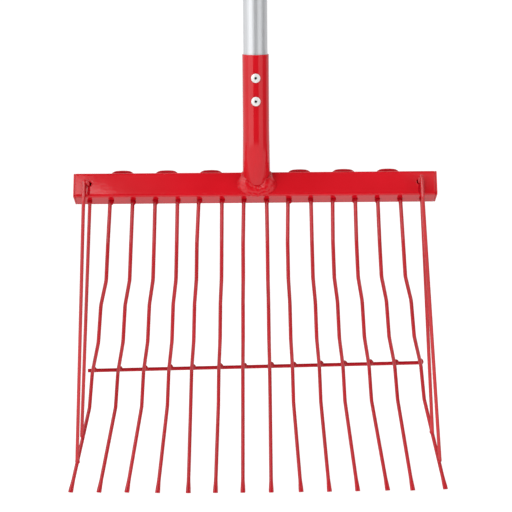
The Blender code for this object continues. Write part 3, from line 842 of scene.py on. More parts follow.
@dataclass
class Tines:
    """Seven hairpins of wire, the rod that ties their fourteen legs, and their welds."""

    place: BarPlace
    bench: Bench
    hairpins: int = 7
    pitch: float = 0.0265
    radius: float = 0.00235
    bend: float = 0.009
    crown_lift: float = 0.0024
    crown_camber: float = 0.0010
    crown_bend: float = 0.0072
    crown_top_bend: float = 0.050
    tip_length: float = 0.018
    tip_edge: float = 0.0003
    rod_radius: float = 0.00235
    rod_at_bend: int = 5
    rod_climb: float = math.radians(0.95)
    rod_over_left: float = 0.0058
    rod_over_right: float = 0.0026
    rod_weld: tuple[float, ...] = (0.0029, 0.0028, 0.0044)
    rod_weld_beside: float = 0.0004
    last_rod_weld_beside: float = 0.0006
    rod_weld_forward: float = 0.0014
    rod_weld_up: float = 0.0020
    # The nuggets are uneven: some sit higher, and lean more for it
    rod_weld_lifts: tuple[float, ...] = (-0.0002, 0.0003, 0.0, 0.0005)
    rod_weld_turn: Pair = (0.2, -0.5)
    rod_weld_twist: float = 60.0
    root_weld: tuple[float, ...] = (0.0031, 0.0031, 0.0046)
    root_weld_drop: float = 0.0010
    root_weld_shifts: tuple[float, ...] = (0.0003, -0.0003, 0.0, 0.0004, -0.0002)
    runs: tuple[Run, ...] = (
        Run(0.054, math.radians(29), 1.014), Run(0.043, math.radians(3), 1.031),
        Run(0.049, math.radians(-40), 1.091), Run(0.045, math.radians(5), 1.114),
        Run(0.073, math.radians(-45), 1.195), Run(0.045, math.radians(3), 1.222),
        Run(0.112, math.radians(28), 1.345))
    # How far, from left to right, each tine strays sideways at its bends and at its tip
    belly_stray: tuple[float, ...] = (-0.0005, 0, 0.0005, 0.0005, -0.0025, 0, -0.0015,
                                      0.0005, -0.0025, -0.0005, -0.0025, -0.0015, -0.001, 0)
    tip_stray: tuple[float, ...] = (-0.0005, -0.001, -0.002, 0.0005, 0.003, 0.001, -0.0005,
                                    -0.001, 0.0005, 0, -0.0005, 0.001, -0.0035, 0.0015)

    def root_xs(self) -> list[float]:
        """Find where the tines leave the bar, from left to right."""
        return [(tine - self.hairpins + 0.5) * self.pitch for tine in range(2 * self.hairpins)]

    def bends(self, tine: int) -> list[Vector]:
        """Find the corners of a tine.

        Args:
            tine: The tine, counted from the left.

        Returns:
            Its corners from the bar's underside to the tip.
        """
        root = self.place.at(self.root_xs()[tine], 0, self.place.half)
        middle = self.place.middle.x
        spine = [root]
        for run in self.runs:
            spine.append(spine[-1] + leaning(run.length, run.lean))
        rod_drop = root.z - spine[self.rod_at_bend].z
        corners = [root]
        for point, run in zip(spine[1:-1], self.runs):
            x = (root.x - middle) * run.fan + self.belly_stray[tine]
            climb = x * math.tan(self.rod_climb) * (root.z - point.z) / rod_drop
            corners.append(Vector((middle + x, point.y, point.z + climb)))
        last = self.runs[-1]
        tip_x = middle + (root.x - middle) * last.fan + self.tip_stray[tine]
        fall = leaning(math.sqrt(last.length ** 2 - (tip_x - corners[-1].x) ** 2), last.lean)
        corners.append(Vector((tip_x, spine[-2].y + fall.y, spine[-2].z + fall.z)))
        return corners

    def leg(self, tine: int) -> list[Corner]:
        """List a leg's corners from the bar's underside to its hammered tip.

        Args:
            tine: The tine, counted from the left.

        Returns:
            The corners.
        """
        bends = self.bends(tine)
        corners = [Corner(point, self.radius, self.bend) for point in bends[1:-1]]
        tip = bends[-1]
        back = (bends[-2] - tip).normalized()
        for share in (step / 8 for step in range(9)):
            point = tip + back * (self.tip_length * (1 - share) + self.tip_edge)
            corners.append(Corner(point, self.radius, 0, eased(share, 0, 1)))
        return corners + [Corner(tip, self.radius - self.tip_edge, 0, 1)]

    def crown(self, hairpin: int, more: float = 0.0) -> list[Corner]:
        """List the corners of a hairpin's crown, which stands on the bar's top.

        Args:
            hairpin: The hairpin, counted from the left, from nought.
            more: What is added to the wire's radius.

        Returns:
            The corners.
        """
        rise = self.place.half + self.crown_lift + self.radius
        left, right = self.root_xs()[2 * hairpin:2 * hairpin + 2]
        shape = ((left, rise, self.crown_bend), ((left + right) / 2, rise + self.crown_camber, self.crown_top_bend),
                 (right, rise, self.crown_bend))
        return [Corner(self.place.at(x, 0, -up), self.radius + more, bend) for x, up, bend in shape]

    def clearance(self, hairpin: int) -> Object:
        """Make the room that a hairpin needs in the bar and in the socket.

        Args:
            hairpin: The hairpin, counted from the left, from nought.

        Returns:
            A cutter round its crown and down through the bar.
        """
        crown = self.crown(hairpin, 2 * SEAT)
        left, right = (Corner(self.place.at(x, 0, 2 * self.place.half), crown[0].thick)
                       for x in self.root_xs()[2 * hairpin:2 * hairpin + 2])
        return self.bench.wire(f"hairpin_clearance_{hairpin + 1}", [left, *crown, right])

    def rod_place(self, x: float) -> Vector:
        """Find the cross rod's centre line.

        Args:
            x: Distance from the bar's middle.

        Returns:
            The place, seated in the backs of the tines' bends.
        """
        level = self.place.at(0, 0, self.place.half)
        for run in self.runs[:self.rod_at_bend]:
            level = level + leaning(run.length, run.lean)
        above, below = self.runs[self.rod_at_bend - 1].lean, self.runs[self.rod_at_bend].lean
        middle_lean = (above + below) / 2
        outward = Vector((0, math.cos(middle_lean), -math.sin(middle_lean)))
        inset = self.bend * (1 / math.cos((below - above) / 2) - 1)
        seat = outward * (self.radius + self.rod_radius + SEAT - inset)
        return Vector((self.place.middle.x + x, level.y, level.z + x * math.tan(self.rod_climb))) + seat

    def crossings(self) -> list[float]:
        """Find where the tines cross the rod, from the bar's middle."""
        return [self.bends(tine)[self.rod_at_bend].x - self.place.middle.x for tine in range(2 * self.hairpins)]

    def cross_rod(self) -> Object:
        """Make the cross rod.

        Returns:
            The rod with softly cut ends.
        """
        xs, edge = self.crossings(), self.tip_edge
        left, right = xs[0] - self.rod_over_left, xs[-1] + self.rod_over_right
        ends = ((left, edge), (left + edge, 0), (right - edge, 0), (right, edge))
        return self.bench.wire("tie_rod", [Corner(self.rod_place(x), self.rod_radius - less) for x, less in ends])

    def rod_welds(self) -> Object:
        """Lay a weld nugget at the upper right of each crossing.

        Returns:
            All the nuggets as one piece.
        """
        xs = self.crossings()
        lifts = [self.rod_weld_lifts[number % len(self.rod_weld_lifts)] for number in range(len(xs))]
        besides = [self.radius + self.rod_weld_beside] * (len(xs) - 1) + [self.last_rod_weld_beside]
        middles = [self.rod_place(x + beside) + Vector((0, -self.rod_weld_forward, self.rod_weld_up + lift))
                   for x, beside, lift in zip(xs, besides, lifts)]
        nod, lean = self.rod_weld_turn
        turns = [Vector((nod, lean + self.rod_weld_twist * lift, 0)) for lift in lifts]
        return self.bench.welds("tie_rod_welds", middles, turns, self.rod_weld, self.bench.finishes.wire, seed=3.0)

    def root_welds(self) -> Object:
        """Lay a weld collar round each leg on the bar's underside.

        Returns:
            All the collars as one piece.
        """
        shifts = self.root_weld_shifts
        middles = [self.place.at(x + shifts[number % len(shifts)], 0, self.place.half + self.root_weld_drop)
                   for number, x in enumerate(self.root_xs())]
        turns = [Vector((-self.place.tilt, 0, number)) for number in range(len(middles))]
        # The collars take the dark, dull coat that paints the shade under the bar
        return self.bench.welds("root_welds", middles, turns, self.root_weld, self.bench.finishes.pool, swell=0.0007)

    def build(self) -> None:
        """Build and dress the tines, their rod and their welds."""
        for hairpin in range(self.hairpins):
            left, right = self.leg(2 * hairpin), self.leg(2 * hairpin + 1)
            wire = self.bench.wire(f"tine_hairpin_{hairpin + 1}", [*reversed(left), *self.crown(hairpin), *right])
            finished(wire, Slot.RED, f"hairpin_{hairpin + 1}")
        finished(self.cross_rod(), Slot.RED, "cross_rod")
        finished(self.rod_welds(), Slot.RED)
        finished(self.root_welds(), Slot.RED)


@dataclass
class Guards:
    """The wire at each side that keeps the load on the fork.

    Each pair is for left and right. A foot is a share of the outermost tine's last run and an angle
    round that tine, from its front to the outside.
    """

    place: BarPlace
    bench: Bench
    tines: Tines
    crossbar: Crossbar
    radius: float = 0.0022
    bend: float = 0.006
    offset: float = 0.0013
    drop: float = 0.008
    hook_bend: float = 0.0022
    hook_lean: float = math.radians(18)
    hook_out: Pair = (0.0055, -0.0012)
    hook_forward: Pair = (0.0, 0.0048)
    back_feet: tuple[Pair, Pair] = ((0.33, math.radians(18)), (0.37, 0.0))
    front_feet: tuple[Pair, Pair] = ((0.64, 0.0), (0.68, math.radians(12)))
    hole_side: float = 0.0009
    rib_radius: float = 0.0024
    rib_reach: Pair = (0.0030, 0.0132)
    rib_proud: float = 0.0006
    # Share of the rib's radius at its ends, and how fast it swells from there
    rib_end: float = 0.75
    rib_swell: float = 0.4
    end_weld: tuple[float, ...] = (0.0030, 0.0028, 0.0036)
    end_weld_drop: float = 0.0008
    end_weld_in: float = 0.0006
    end_weld_back: float = 0.0012
    collar: tuple[float, ...] = (0.0030, 0.0030, 0.0040)
    collar_drop: float = 0.0006

    def foot(self, side: Side, feet: tuple[Pair, Pair]) -> Vector:
        """Find where a guard leg is welded to the outermost tine.

        Args:
            side: Which side.
            feet: The feet of both sides' legs.

        Returns:
            The leg's end.
        """
        share, around = side.pick(feet)
        *_, bend, tip = self.tines.bends(side.pick((0, 2 * self.tines.hairpins - 1)))
        lean = self.tines.runs[-1].lean
        front = Vector((0, -math.cos(lean), math.sin(lean)))
        off = front * math.cos(around) + X_AXIS * side.value * math.sin(around)
        return bend + (tip - bend) * share + off * (self.tines.radius + self.radius + SEAT)

    def corners(self, side: Side) -> list[Corner]:
        """List a guard's corners from its back end, through the bar and down to its front end.

        Args:
            side: Which side.

        Returns:
            The corners.
        """
        at, half = self.place.at, self.place.half
        out, forward = side.pick(self.hook_out), side.pick(self.hook_forward)
        x = side.pick(self.crossbar.low_holes)
        hole_front = half + self.offset + self.radius
        hook_front = hole_front + forward
        hook_top = math.hypot(out, forward) / math.tan(self.hook_lean)
        hook_x = x + side.value * out
        hole_x = x + (side.pick(self.crossbar.front_holes) + side.value * self.hole_side - x) * hole_front / half
        shape = (
            (self.foot(side, self.back_feet), 0.0),
            (at(x, 0, half + self.drop), self.bend),
            (at(x, 0, 0), self.bend),
            (at(hole_x, hole_front, 0), self.hook_bend - SEAT),
            (at(hook_x, hook_front, -hook_top), self.hook_bend),
            (at(hook_x, hook_front, half + self.drop), self.bend),
            (self.foot(side, self.front_feet), 0.0),
        )
        return [Corner(point, self.radius, bend) for point, bend in shape]

    def rib(self, side: Side) -> Object:
        """Lay the low rib that runs from a guard's hole down to the bar's lower edge, darkened as painted shade.

        Args:
            side: Which side.

        Returns:
            The rib, sunk in the bar's face, with rounded ends.
        """
        x, front = side.pick(self.crossbar.front_holes), self.place.half + self.rib_proud - self.rib_radius
        start, end = self.rib_reach
        corners = []
        for c, s in arc(8, math.pi):
            place = self.place.at(x, front, (start + end) / 2 - (end - start) / 2 * c)
            share = self.rib_end + (1 - self.rib_end) * s ** self.rib_swell
            corners.append(Corner(place, self.rib_radius * share))
        # Its dark, dull coat is painted shade along the dark band below the hole
        return self.bench.wire(f"guard_rib_{side.name.lower()}", corners, self.bench.finishes.pool)

    def end_welds(self) -> Object:
        """Lay the blobs that join the guards' ends to the outermost tines.

        Returns:
            All four as one piece.
        """
        lean = self.tines.runs[-1].lean
        middles = [self.foot(side, feet) + leaning(self.end_weld_drop, lean)
                   + Vector((-side.value * self.end_weld_in, self.end_weld_back, 0))
                   for side in Side for feet in (self.back_feet, self.front_feet)]
        return self.bench.welds("guard_end_welds", middles, [Vector((-lean, 0, 0))] * 4, self.end_weld,
                                self.bench.finishes.wire, seed=11.0)

    def collars(self) -> Object:
        """Lay the weld collars where the guards enter the bar's underside.

        Returns:
            Both collars as one piece.
        """
        middles = [self.place.at(x, 0, self.place.half + self.collar_drop) for x in self.crossbar.low_holes]
        # The collars take the dark, dull coat that paints the shade under the bar
        return self.bench.welds("guard_collars", middles, [Vector((-self.place.tilt, 0, 0))] * 2, self.collar,
                                self.bench.finishes.pool, seed=5.0)

    def build(self) -> None:
        """Build and dress both guards and their welds."""
        for side in Side:
            label = side.name.lower()
            guard = self.bench.wire(f"side_guard_{label}", self.corners(side), self.bench.finishes.guard)
            finished(guard, Slot.RED, f"guard_{label}")
            finished(self.rib(side), Slot.RED)
        finished(self.end_welds(), Slot.RED)
        finished(self.collars(), Slot.RED)


@dataclass
class Socket:
    """Tube that holds the handle, bent back to a saddle on the crossbar, with its weld."""

    place: BarPlace
    bench: Bench
    tines: Tines
    radius: float = 0.0155
    wall: float = 0.0012
    straight: float = 0.0892
    bend_radius: float = 0.106
    bend: float = math.radians(32)
    flare: float = 1.06
    shift: float = 0.0015
    saddle_drop: float = 0.005
    edge: float = 0.0006
    sides: int = 96
    bend_steps: int = 28
    rivet_from_top: float = 0.0265
    rivet_spacing: float = 0.027
    rivet_hole: float = 0.0027
    drill_out: float = 0.004
    drill_in: float = 0.008
    block_corner: float = 0.003
    weld_end: float = 0.0030
    weld_side: float = 0.0126
    weld_front: float = 0.0086
    weld_grows: Pair = (0.10, 0.25)
    weld_shrinks: Pair = (0.28, 0.46)
    weld_throat: float = 0.62
    weld_shift: float = 0.0005
    weld_stop: float = 0.0045
    weld_sides: int = 64
    weld_points: int = 480
    weld_smoothing: int = 150
    # Size and height of the weld's lumps
    lumps: tuple[Pair, ...] = ((1 / 330, 0.00040), (1 / 900, 0.00022))
    # Folds between its passes: angle round the section, width and share of the depth
    folds: tuple[tuple[float, float, float], ...] = ((2.15, 0.20, 1.0), (1.15, 0.16, 0.6))
    fold_depth: float = 0.0013
    fold_fade: Pair = (0.12, 0.30)
    # Times a metre that the folds wander and by what angle, and that their depth changes and about what share
    fold_wander: Pair = (110.0, 0.5)
    fold_change: Pair = (240.0, 0.65)

    def foot(self) -> Vector:
        """Find where the centre line meets the bar's front face."""
        return self.place.at(self.shift, self.place.half, -self.place.half + self.saddle_drop)

    def bent(self, turn: float) -> Vector:
        """Find how far the centre line comes from the start of the bend by a turn."""
        return Vector((0, self.bend_radius * (1 - math.cos(turn)), -self.bend_radius * math.sin(turn)))

    def bend_start(self) -> Vector:
        """Find where the straight part ends."""
        return self.foot() - self.bent(self.bend)

    def top(self) -> Vector:
        """Find the middle of the upper end."""
        return self.bend_start() + Vector((0, 0, self.straight))

    def rivet_seats(self) -> list[Vector]:
        """Find where the rivets pass the socket's skin, upper one first."""
        first = self.top() + Vector((0, -self.radius, -self.rivet_from_top))
        return [first, first - Vector((0, 0, self.rivet_spacing))]

    def rivet_drills(self) -> Object:
        """Make the cutters for the rivets' holes in socket and handle.

        Returns:
            Both cutters as one object.
        """
        out, into = Vector((0, self.drill_out, 0)), Vector((0, self.drill_in, 0))
        ends = [(seat - out, seat + into) for seat in self.rivet_seats()]
        return drills("rivet_drills", ends, self.rivet_hole, self.bench.finishes.red)

    def ring(self, place: Matrix, radius: float) -> list[Vector]:
        """Draw a ring of the tube, by its radius before the place's own scale."""
        return [place @ Vector((radius * c, radius * s, 0)) for c, s in arc(self.sides, 2 * math.pi)[:-1]]

    def places(self) -> list[Matrix]:
        """Place the tube's rings.

        Returns:
            Their places from under the top edge down through the bar, each with its own scale.
        """
        start, around = self.bend_start(), 1.5 * self.rivet_hole
        heights = [seat.z - start.z + off for seat in self.rivet_seats() for off in (around, -around)]
        places = [Matrix.Translation(start + Vector((0, 0, up))) for up in (self.straight - self.edge, *heights)]
        for step in range(self.bend_steps + 1):
            share = step / self.bend_steps
            turn = self.bend * share
            flare = Matrix.Diagonal((1 + (self.flare - 1) * share, 1, 1, 1))
            places.append(Matrix.Translation(start + self.bent(turn)) @ Matrix.Rotation(turn, 4, "X") @ flare)
        places.append(Matrix.Translation(leaning(2 * self.place.half, -self.bend)) @ places[-1])
        return places

    def saddle_block(self) -> Object:
        """Make the rounded block that cuts the saddle.

        Returns:
            The cutter.
        """
        half = self.place.half
        block = 2 * half + 4 * self.radius
        rings = [square_ring(x + self.shift, block, self.block_corner + SEAT) for x in (-block / 2, block / 2)]
        move = block / 2 - half - SEAT
        return self.place.skinned("saddle_block", rings, self.bench.finishes.red, move=Vector((0, move, -move)))

    def tube(self) -> Object:
        """Make the socket tube.

        Returns:
            The tube, cut to its saddle and clear of the middle crown and the rivets.
        """
        places = self.places()
        bore = self.radius - self.wall
        top = Matrix.Translation(self.top())
        rings = [self.ring(top @ Matrix.Translation((0, 0, -self.edge * (1 - c))), self.radius - self.edge * (1 - s))
                 for c, s in arc(4)]
        rings += [self.ring(place, self.radius) for place in places[1:]]
        rings += [self.ring(place, bore) for place in reversed(places)]
        rings.append(self.ring(top, bore))
        tube = to_object("socket_tube_red", lofted(rings, closed_path=True), self.bench.finishes.red)
        crown = self.tines.clearance(self.tines.hairpins // 2)
        return drilled(tube, [self.saddle_block(), crown, self.rivet_drills()])

    def saddle_path(self) -> list[tuple[Vector, Vector]]:
        """Trace the line along which the socket's skin meets the bar.

        Returns:
            Places and outward spokes round the front, from right to left of the middle crown.
        """
        down = leaning(1, -self.bend)
        across = Vector((0, -math.cos(self.bend), -math.sin(self.bend)))
        off_front, off_top = self.place.axis(1, 0), self.place.axis(0, -1)
        half, middle = self.place.half, self.place.middle
        path = []
        for number in range(self.weld_points):
            angle = 2 * math.pi * number / self.weld_points - math.pi / 2
            spoke = X_AXIS * self.flare * math.cos(angle) + across * math.sin(angle)
            skin = self.foot() + spoke * self.radius
            falls = [((skin - middle).dot(off) - half) / -down.dot(off) for off in (off_front, off_top)]
            point = skin + down * max(falls)
            if (point - middle).dot(off_front) > self.tines.radius + self.weld_stop:
                path.append((point, spoke.normalized()))
        for _ in range(self.weld_smoothing):
            inner = [((a[0] + 2 * b[0] + c[0]) / 4, b[1]) for a, b, c in zip(path, path[1:], path[2:])]
            path = path[:1] + inner + path[-1:]
        return path

    def relief(self, place: Vector, angle: float, share: float) -> float:
        """Find how far the weld's skin stands out at a place.

        Args:
            place: Where on the smooth bead.
            angle: Angle round its section, nought at the toe on the bar and half a turn at the toe on the socket.
            share: How far from its nearer end, one half in the middle of the front.

        Returns:
            The height of the lumps there, less the depth of the folds between its passes.
        """
        lumps = sum(noise.noise(place / size) * height for size, height in self.lumps)
        often, reach = self.fold_wander
        wander = noise.noise(place * often) * reach
        often, usual = self.fold_change
        depth = self.fold_depth * eased(share, *self.fold_fade) * (usual + noise.noise(place * often))
        folds = sum(part * math.exp(-((angle - middle - wander) / width) ** 2) for middle, width, part in self.folds)
        return lumps - depth * folds

    def weld(self) -> Object:
        """Lay the weld round the socket's foot.

        Returns:
            A flat fillet of three passes side by side, widest at both sides of the socket.
        """
        path = self.saddle_path()
        last = len(path) - 1
        up = leaning(-1, -self.bend)
        rings = []
        for number, (point, spoke) in enumerate(path):
            tangent = (path[min(number + 1, last)][0] - path[max(number - 1, 0)][0]).normalized()
            between = up + spoke
            between = (between - tangent * between.dot(tangent)).normalized()
            chord = between.cross(tangent)
            share = min(number, last - number) / last
            swell = eased(share, *self.weld_grows)
            radius = self.weld_end + (self.weld_side - self.weld_end) * swell
            radius -= (self.weld_side - self.weld_front) * eased(share, *self.weld_shrinks)
            centre = point + X_AXIS * self.weld_shift * swell
            ring = []
            for step, (along, out) in enumerate(arc(self.weld_sides, 2 * math.pi)[:-1]):
                place = centre + (chord * along + between * self.weld_throat * out) * radius
                normal = (chord * self.weld_throat * along + between * out).normalized()
                ring.append(place + normal * self.relief(place, 2 * math.pi * step / self.weld_sides, share))
            rings.append(ring)
        return to_object("saddle_weld_bead", lofted(rings), self.bench.finishes.red, math.radians(75))

    def build(self) -> None:
        """Build and dress the socket and its weld."""
        finished(self.tube(), Slot.RED, "socket_tube")
        finished(self.weld(), Slot.RED, "socket_weld")


@dataclass
class Rivets:
    """Two blind rivets through the front of the socket and the handle."""

    socket: Socket
    bench: Bench
    shank: float = 0.0048
    head: float = 0.0107
    rim: float = 0.0005
    height: float = 0.0017
    bore: float = 0.0015
    bulb: float = 0.0064
    bulb_length: float = 0.0030
    bulb_seat: float = -0.0036
    chamfer: float = 0.0002
    mandrel: float = 0.0024
    mandrel_head: float = 0.0042
    mandrel_head_length: float = 0.0020
    recess: float = 0.0012

    def body_profile(self) -> list[Pair]:
        """Draw half the section of a set rivet body.

        Returns:
            Radii and heights from the blind end outwards, with the socket's skin at height nought.
        """
        head, shank, bulb = self.head / 2, self.shank / 2, self.bulb / 2
        low = self.bulb_seat - self.bulb_length
        edge = SEAT + self.rim / 2
        profile = [(self.bore, low), (bulb * 0.75, low)]
        profile += [(bulb, low + self.bulb_length * share) for share in (0.4, 0.8)]
        profile += [(bulb - self.chamfer, self.bulb_seat), (shank, self.bulb_seat), (shank, SEAT),
                    (head - self.chamfer, SEAT), (head, edge)]
        for share in (step / 9 for step in range(1, 10)):
            radius = head + (self.bore + self.chamfer - head) * share
            profile.append((radius, edge + (self.height - self.rim / 2) * math.sin(share * math.pi / 2)))
        return profile + [(self.bore, SEAT + self.height - self.chamfer)]

    def mandrel_profile(self) -> list[Pair]:
        """Draw half the section of the broken mandrel that stays in a rivet.

        Returns:
            Radii and heights from the blind end outwards.
        """
        blind = self.bulb_seat - self.bulb_length - SEAT
        stem, head, length = self.mandrel / 2, self.mandrel_head / 2, self.mandrel_head_length
        top = self.height - self.recess
        return [(0, blind - length), (head * 0.75, blind - length), (head, blind - length / 2), (head, blind),
                (stem, blind), (stem, top - 0.0003), (stem * 0.6, top), (stem * 0.3, top - 0.0002), (0, top + 0.0001)]

    def build(self) -> None:
        """Build and dress the rivets and their mandrels."""
        finishes, seats, forward = self.bench.finishes, self.socket.rivet_seats(), math.pi / 2
        finished(self.bench.parts("blind_rivets", seats, self.body_profile(), forward, finishes.rivet),
                 Slot.RIVET, "rivet_upper", "rivet_lower")
        finished(self.bench.parts("mandrels", seats, self.mandrel_profile(), forward, finishes.mandrel),
                 Slot.MANDREL, "rivet_mandrel_upper", "rivet_mandrel_lower")


@dataclass
class Handle:
    """Drawn aluminium tube."""

    socket: Socket
    finish: Material
    radius: float = 0.014
    wall: float = 0.0015
    length: float = 1.0
    stop: float = 0.0075
    edge: float = 0.0003
    drill_band: float = 0.004
    sides: int = 96

    def foot(self) -> Vector:
        """Find the middle of the lower end."""
        return self.socket.bend_start() + Vector((0, 0, self.stop))

    def build(self) -> None:
        """Turn the tube, drill it for the rivets and dress it."""
        radius, bore, length, edge = self.radius, self.radius - self.wall, self.length, self.edge
        profile = [(bore, 0), (radius - edge, 0), (radius, edge)]
        for seat in reversed(self.socket.rivet_seats()):
            profile += [(radius, seat.z - self.foot().z + off) for off in (-self.drill_band, self.drill_band)]
        profile += [(radius, length - edge), (radius - edge, length), (bore, length)]
        tube = turned(profile, self.sides, Matrix.Translation(self.foot()))
        tube = to_object("handle_tube_aluminium", tube, self.finish)
        finished(drilled(tube, [self.socket.rivet_drills()]), Slot.TUBE, "handle_tube")


@dataclass
class EndGrip:
    """Moulded cap on the handle's upper end, with finger grooves and a hanging hole."""

    handle: Handle
    finish: Material
    wall: float = 0.003
    depth: float = 0.115
    crown: float = 0.030
    grooves: int = 6
    groove_pitch: float = 0.013
    groove_depth: float = 0.0012
    groove_round: float = 0.6
    rim: float = 0.002
    hole: float = 0.009
    hole_drop: float = 0.014
    hole_lip: float = 0.0018
    cutter_over: float = 0.006
    sides: int = 96

    def profile(self) -> list[Pair]:
        """Draw half the grip's section.

        Returns:
            Radii and heights, with the bore as wide as its solid's is across the corners.
        """
        solid_sides = 20
        bore = (self.handle.radius + SEAT) / math.cos(math.pi / solid_sides)
        skin = bore + self.wall
        total = self.depth + self.crown
        profile = [(0, self.depth), (bore, self.depth), (bore, 0)]
        profile += [(skin - self.groove_depth * (1 - s), self.rim * (1 - c)) for c, s in arc(4)]
        first = (self.depth - self.grooves * self.groove_pitch) / 2
        for groove in range(self.grooves):
            for share in (step / 12 for step in range(12)):
                dip = self.groove_depth * math.sin(math.pi * share) ** self.groove_round
                profile.append((skin - dip, first + self.groove_pitch * (groove + share)))
        profile.append((skin, first + self.grooves * self.groove_pitch))
        profile += [(skin * c, total - skin / 2 * (1 - s)) for c, s in arc(16)[:-1]]
        return profile + [(0, total)]

    def hole_cutter(self, middle: Vector) -> Object:
        """Make the spool that cuts the hanging hole with round lips.

        Args:
            middle: Middle of the hole on the grip's axis.

        Returns:
            The cutter.
        """
        radius, lip = self.hole / 2, self.hole_lip
        skin = self.handle.radius + self.wall
        beyond = skin + self.cutter_over
        half = [(radius + lip * (1 - c), skin - lip * (1 - s)) for c, s in arc(6)] + [(radius + lip, beyond)]
        profile = [(0, -beyond), *((r, -h) for r, h in reversed(half)), *half, (0, beyond)]
        place = Matrix.Translation(middle) @ Matrix.Rotation(math.pi / 2, 4, "X")
        return to_object("hang_hole_cutter", turned(profile, 48, place), self.finish)

    def build(self) -> None:
        """Build and dress the grip."""
        foot = self.handle.foot() + Vector((0, 0, self.handle.length)) + Vector((0, 0, SEAT - self.depth))
        grip = to_object("end_grip_moulded", turned(self.profile(), self.sides, Matrix.Translation(foot)), self.finish)
        middle = foot + Vector((0, 0, self.depth + self.crown - self.hole_drop))
        finished(drilled(grip, [self.hole_cutter(middle)]), Slot.GRIP, "end_grip")


# Studio


@dataclass(frozen=True)
class Softbox:
    """A patch of light on the studio's dome, in degrees, with azimuth nought towards the camera.

    A slanted one leans that many degrees sideways for each degree of height from its hinge.
    """

    left: float
    right: float
    low: float
    high: float
    strength: float
    soft: float = 4.0
    slant: float = 0.0
    hinge: float = 48.6


@dataclass(frozen=True)
class Lamp:
    """A square lamp, placed from the bar's middle, that shows in no reflection."""

    name: str
    offset: tuple[float, float, float]
    size: float
    watts: float


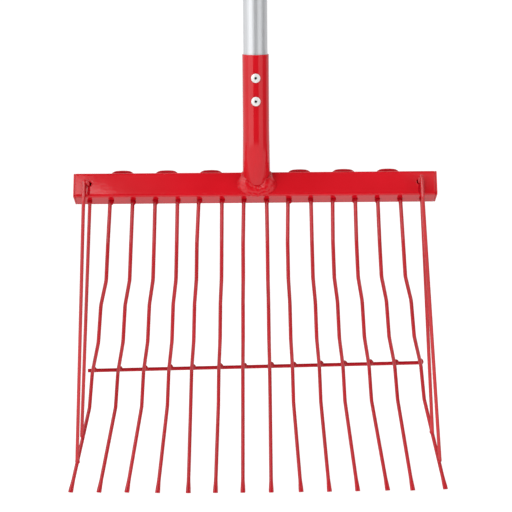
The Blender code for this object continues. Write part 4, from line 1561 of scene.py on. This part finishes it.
@dataclass
class Studio:
    """White paper floor, a dome with soft boxes, lamps and the camera."""

    place: BarPlace
    lens: float = 112.5
    pitch: float = math.radians(12)
    roll: float = math.radians(0.45)
    stand: Vector = field(default_factory=lambda: Vector((0.00025, -1.891136, 0.318357)))
    floor_reach: float = 12.0
    sweep: float = 6.0
    wall: float = 9.0
    ambient: float = 0.13
    boxes: tuple[Softbox, ...] = (
        Softbox(-68, -22, -21, 50, 1.4),
        Softbox(-200, -68, -21, 50, 0.7),
        Softbox(24, 62, -21, 50, 0.9),
        Softbox(105, 200, -21, 50, 0.6),
        Softbox(-100, -14, 30, 50, 1.3),
        Softbox(-13, -9.8, 44, 52, 2.4, 0.5, 3.3),
        Softbox(-12, -5, 44, 52, 0.25, 3.0),
        Softbox(14, 60, 40, 66, 0.8),
        Softbox(60, 106, -21, 50, 0.08),
        Softbox(8.7, 14, 44, 52, 0.75, 0.9, 2.2),
        Softbox(4, 9, 44, 52, 0.06, 3.0),
        Softbox(-110, 110, -100, -21, 0.7),
        Softbox(-200, -110, -100, -21, 0.4),
        Softbox(110, 200, -100, -21, 0.4),
    )
    lamps: tuple[Lamp, ...] = (
        Lamp("key", (-0.3, -1.0, 1.9), 0.5, 16),
        Lamp("bounce", (0.0, -0.6, -1.3), 1.0, 8),
        Lamp("fill", (1.6, -0.8, 0.3), 0.6, 4.5),
    )

    def floor(self) -> None:
        """Lay the paper, swept up all round, which reflections pass so that they show the dome."""
        edge = self.floor_reach + self.sweep
        profile = [(0.0, 0.0)]
        profile += [(self.floor_reach + self.sweep * s, self.sweep * (1 - c)) for c, s in arc(12)]
        profile.append((edge, self.sweep + self.wall))
        floor = to_object("studio_floor", turned(profile, 96), StudioPaper().material())
        floor.visible_glossy = floor.visible_diffuse = floor.visible_shadow = False

    def band(self, tree: NodeTree, angle: Node, ends: Pair, soft: float) -> Node:
        """Add a soft-edged band of an angle.

        Args:
            tree: The world's tree.
            angle: The node that gives the angle.
            ends: Where the band begins and ends.
            soft: Half the width of its edges.

        Returns:
            The node that gives one inside the band and nought outside.
        """
        rise, fall = (
            add_node(tree, MAP_RANGE, {"interpolation_type": "SMOOTHSTEP"},
                     {"Value": angle, "From Min": end - soft, "From Max": end + soft, "To Min": before,
                      "To Max": 1.0 - before})
            for end, before in zip(ends, (0.0, 1.0)))
        return add_node(tree, MATH, {"operation": "MULTIPLY"}, {0: rise, 1: fall})

    def dome(self) -> None:
        """Light the scene from a dome with soft boxes."""
        world = bpy.data.worlds.new("studio dome")
        world.use_nodes = True
        tree = world.node_tree
        tree.nodes.clear()
        sight = add_node(tree, "ShaderNodeTexCoord").outputs["Generated"]
        axes = add_node(tree, "ShaderNodeSeparateXYZ", inputs={0: sight}).outputs
        behind = add_node(tree, MATH, {"operation": "MULTIPLY"}, {0: axes["Y"], 1: -1.0})
        turn = add_node(tree, MATH, {"operation": "ARCTAN2"}, {0: axes["X"], 1: behind})
        rise = add_node(tree, MATH, {"operation": "ARCSINE"}, {0: axes["Z"]})
        azimuth, elevation = (add_node(tree, MATH, {"operation": "DEGREES"}, {0: angle}) for angle in (turn, rise))
        total = self.ambient
        for box in self.boxes:
            hung = add_node(tree, MATH, {"operation": "SUBTRACT"}, {0: elevation, 1: box.hinge})
            leant = add_node(tree, MATH, {"operation": "MULTIPLY_ADD"}, {0: hung, 1: box.slant, 2: azimuth})
            sideways = self.band(tree, leant, (box.left, box.right), box.soft)
            upright = self.band(tree, elevation, (box.low, box.high), box.soft)
            patch = add_node(tree, MATH, {"operation": "MULTIPLY"}, {0: sideways, 1: upright})
            total = add_node(tree, MATH, {"operation": "MULTIPLY_ADD"}, {0: patch, 1: box.strength, 2: total})
        glow = add_node(tree, "ShaderNodeBackground", inputs={"Color": linear("FFFFFF"), "Strength": total})
        add_node(tree, "ShaderNodeOutputWorld", inputs={"Surface": glow})
        bpy.context.scene.world = world

    def hang(self, spec: Lamp) -> None:
        """Hang one lamp.

        Args:
            spec: Which one.
        """
        light = bpy.data.lights.new(spec.name, "AREA")
        light.size = spec.size
        light.energy = spec.watts
        lamp = put(spec.name, light)
        lamp.location = self.place.middle + Vector(spec.offset)
        lamp.rotation_euler = (-Vector(spec.offset)).to_track_quat("-Z", "Y").to_euler()
        lamp.visible_glossy = False

    def camera(self) -> None:
        """Stand the camera where the photograph was taken from."""
        lens = bpy.data.cameras.new("camera")
        lens.lens = self.lens
        lens.clip_end = 100
        camera = put("camera", lens)
        tilt = Matrix.Rotation(math.pi / 2 - self.pitch, 4, "X") @ Matrix.Rotation(-self.roll, 4, "Z")
        camera.matrix_world = Matrix.Translation(self.place.middle + self.stand) @ tilt
        bpy.context.scene.camera = camera

    def build(self) -> None:
        """Set up the floor, the light and the camera."""
        self.floor()
        self.dome()
        for spec in self.lamps:
            self.hang(spec)
        self.camera()
        bpy.context.scene.view_settings.view_transform = "Standard"


def main() -> None:
    """Build the fork and its studio."""
    logging.basicConfig(level=logging.INFO, format="%(name)s: %(message)s")
    finishes = Finishes(
        red=PowderCoat().material(),
        # The coat on wire is darker than the bar's only as painted shade
        wire=PowderCoat("red powder coat on wire", "A90B17", "B51321").material(),
        # The coat on guards is darker than the bar's as painted shade, and glossier for stronger reflections
        guard=PowderCoat("red powder coat on guards", "B60F1A", "C01620", gloss=0.85).material(),
        # Dark, dull coat: painted shade under the bar
        pool=PowderCoat("red powder coat in corners", "A60414", "B20718", 0.34, 0.40, gloss=0.03).material(),
        tube=DrawnAluminium().material(),
        rivet=PressedMetal("pressed aluminium rivet", "E2E2E1", "F4F3F1", 0.36, 0.45, metallic=0.45).material(),
        mandrel=PressedMetal("plated steel mandrel", "1E1E22", "34343A", 0.46, 0.55).material(),
        grip=MouldedPlastic().material(),
    )
    low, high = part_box("crossbar")
    place = BarPlace((Vector(low) + Vector(high)) / 2)
    bench = Bench(finishes)
    tines = Tines(place, bench)
    clearances = [tines.clearance(hairpin) for hairpin in range(tines.hairpins)]
    crossbar = Crossbar(place, bench)
    crossbar.build(tines.root_xs(), clearances)
    tines.build()
    Guards(place, bench, tines, crossbar).build()
    socket = Socket(place, bench, tines)
    socket.build()
    Rivets(socket, bench).build()
    handle = Handle(socket, finishes.tube)
    handle.build()
    EndGrip(handle, finishes.grip).build()
    Studio(place).build()


if __name__ == "__main__":
    main()
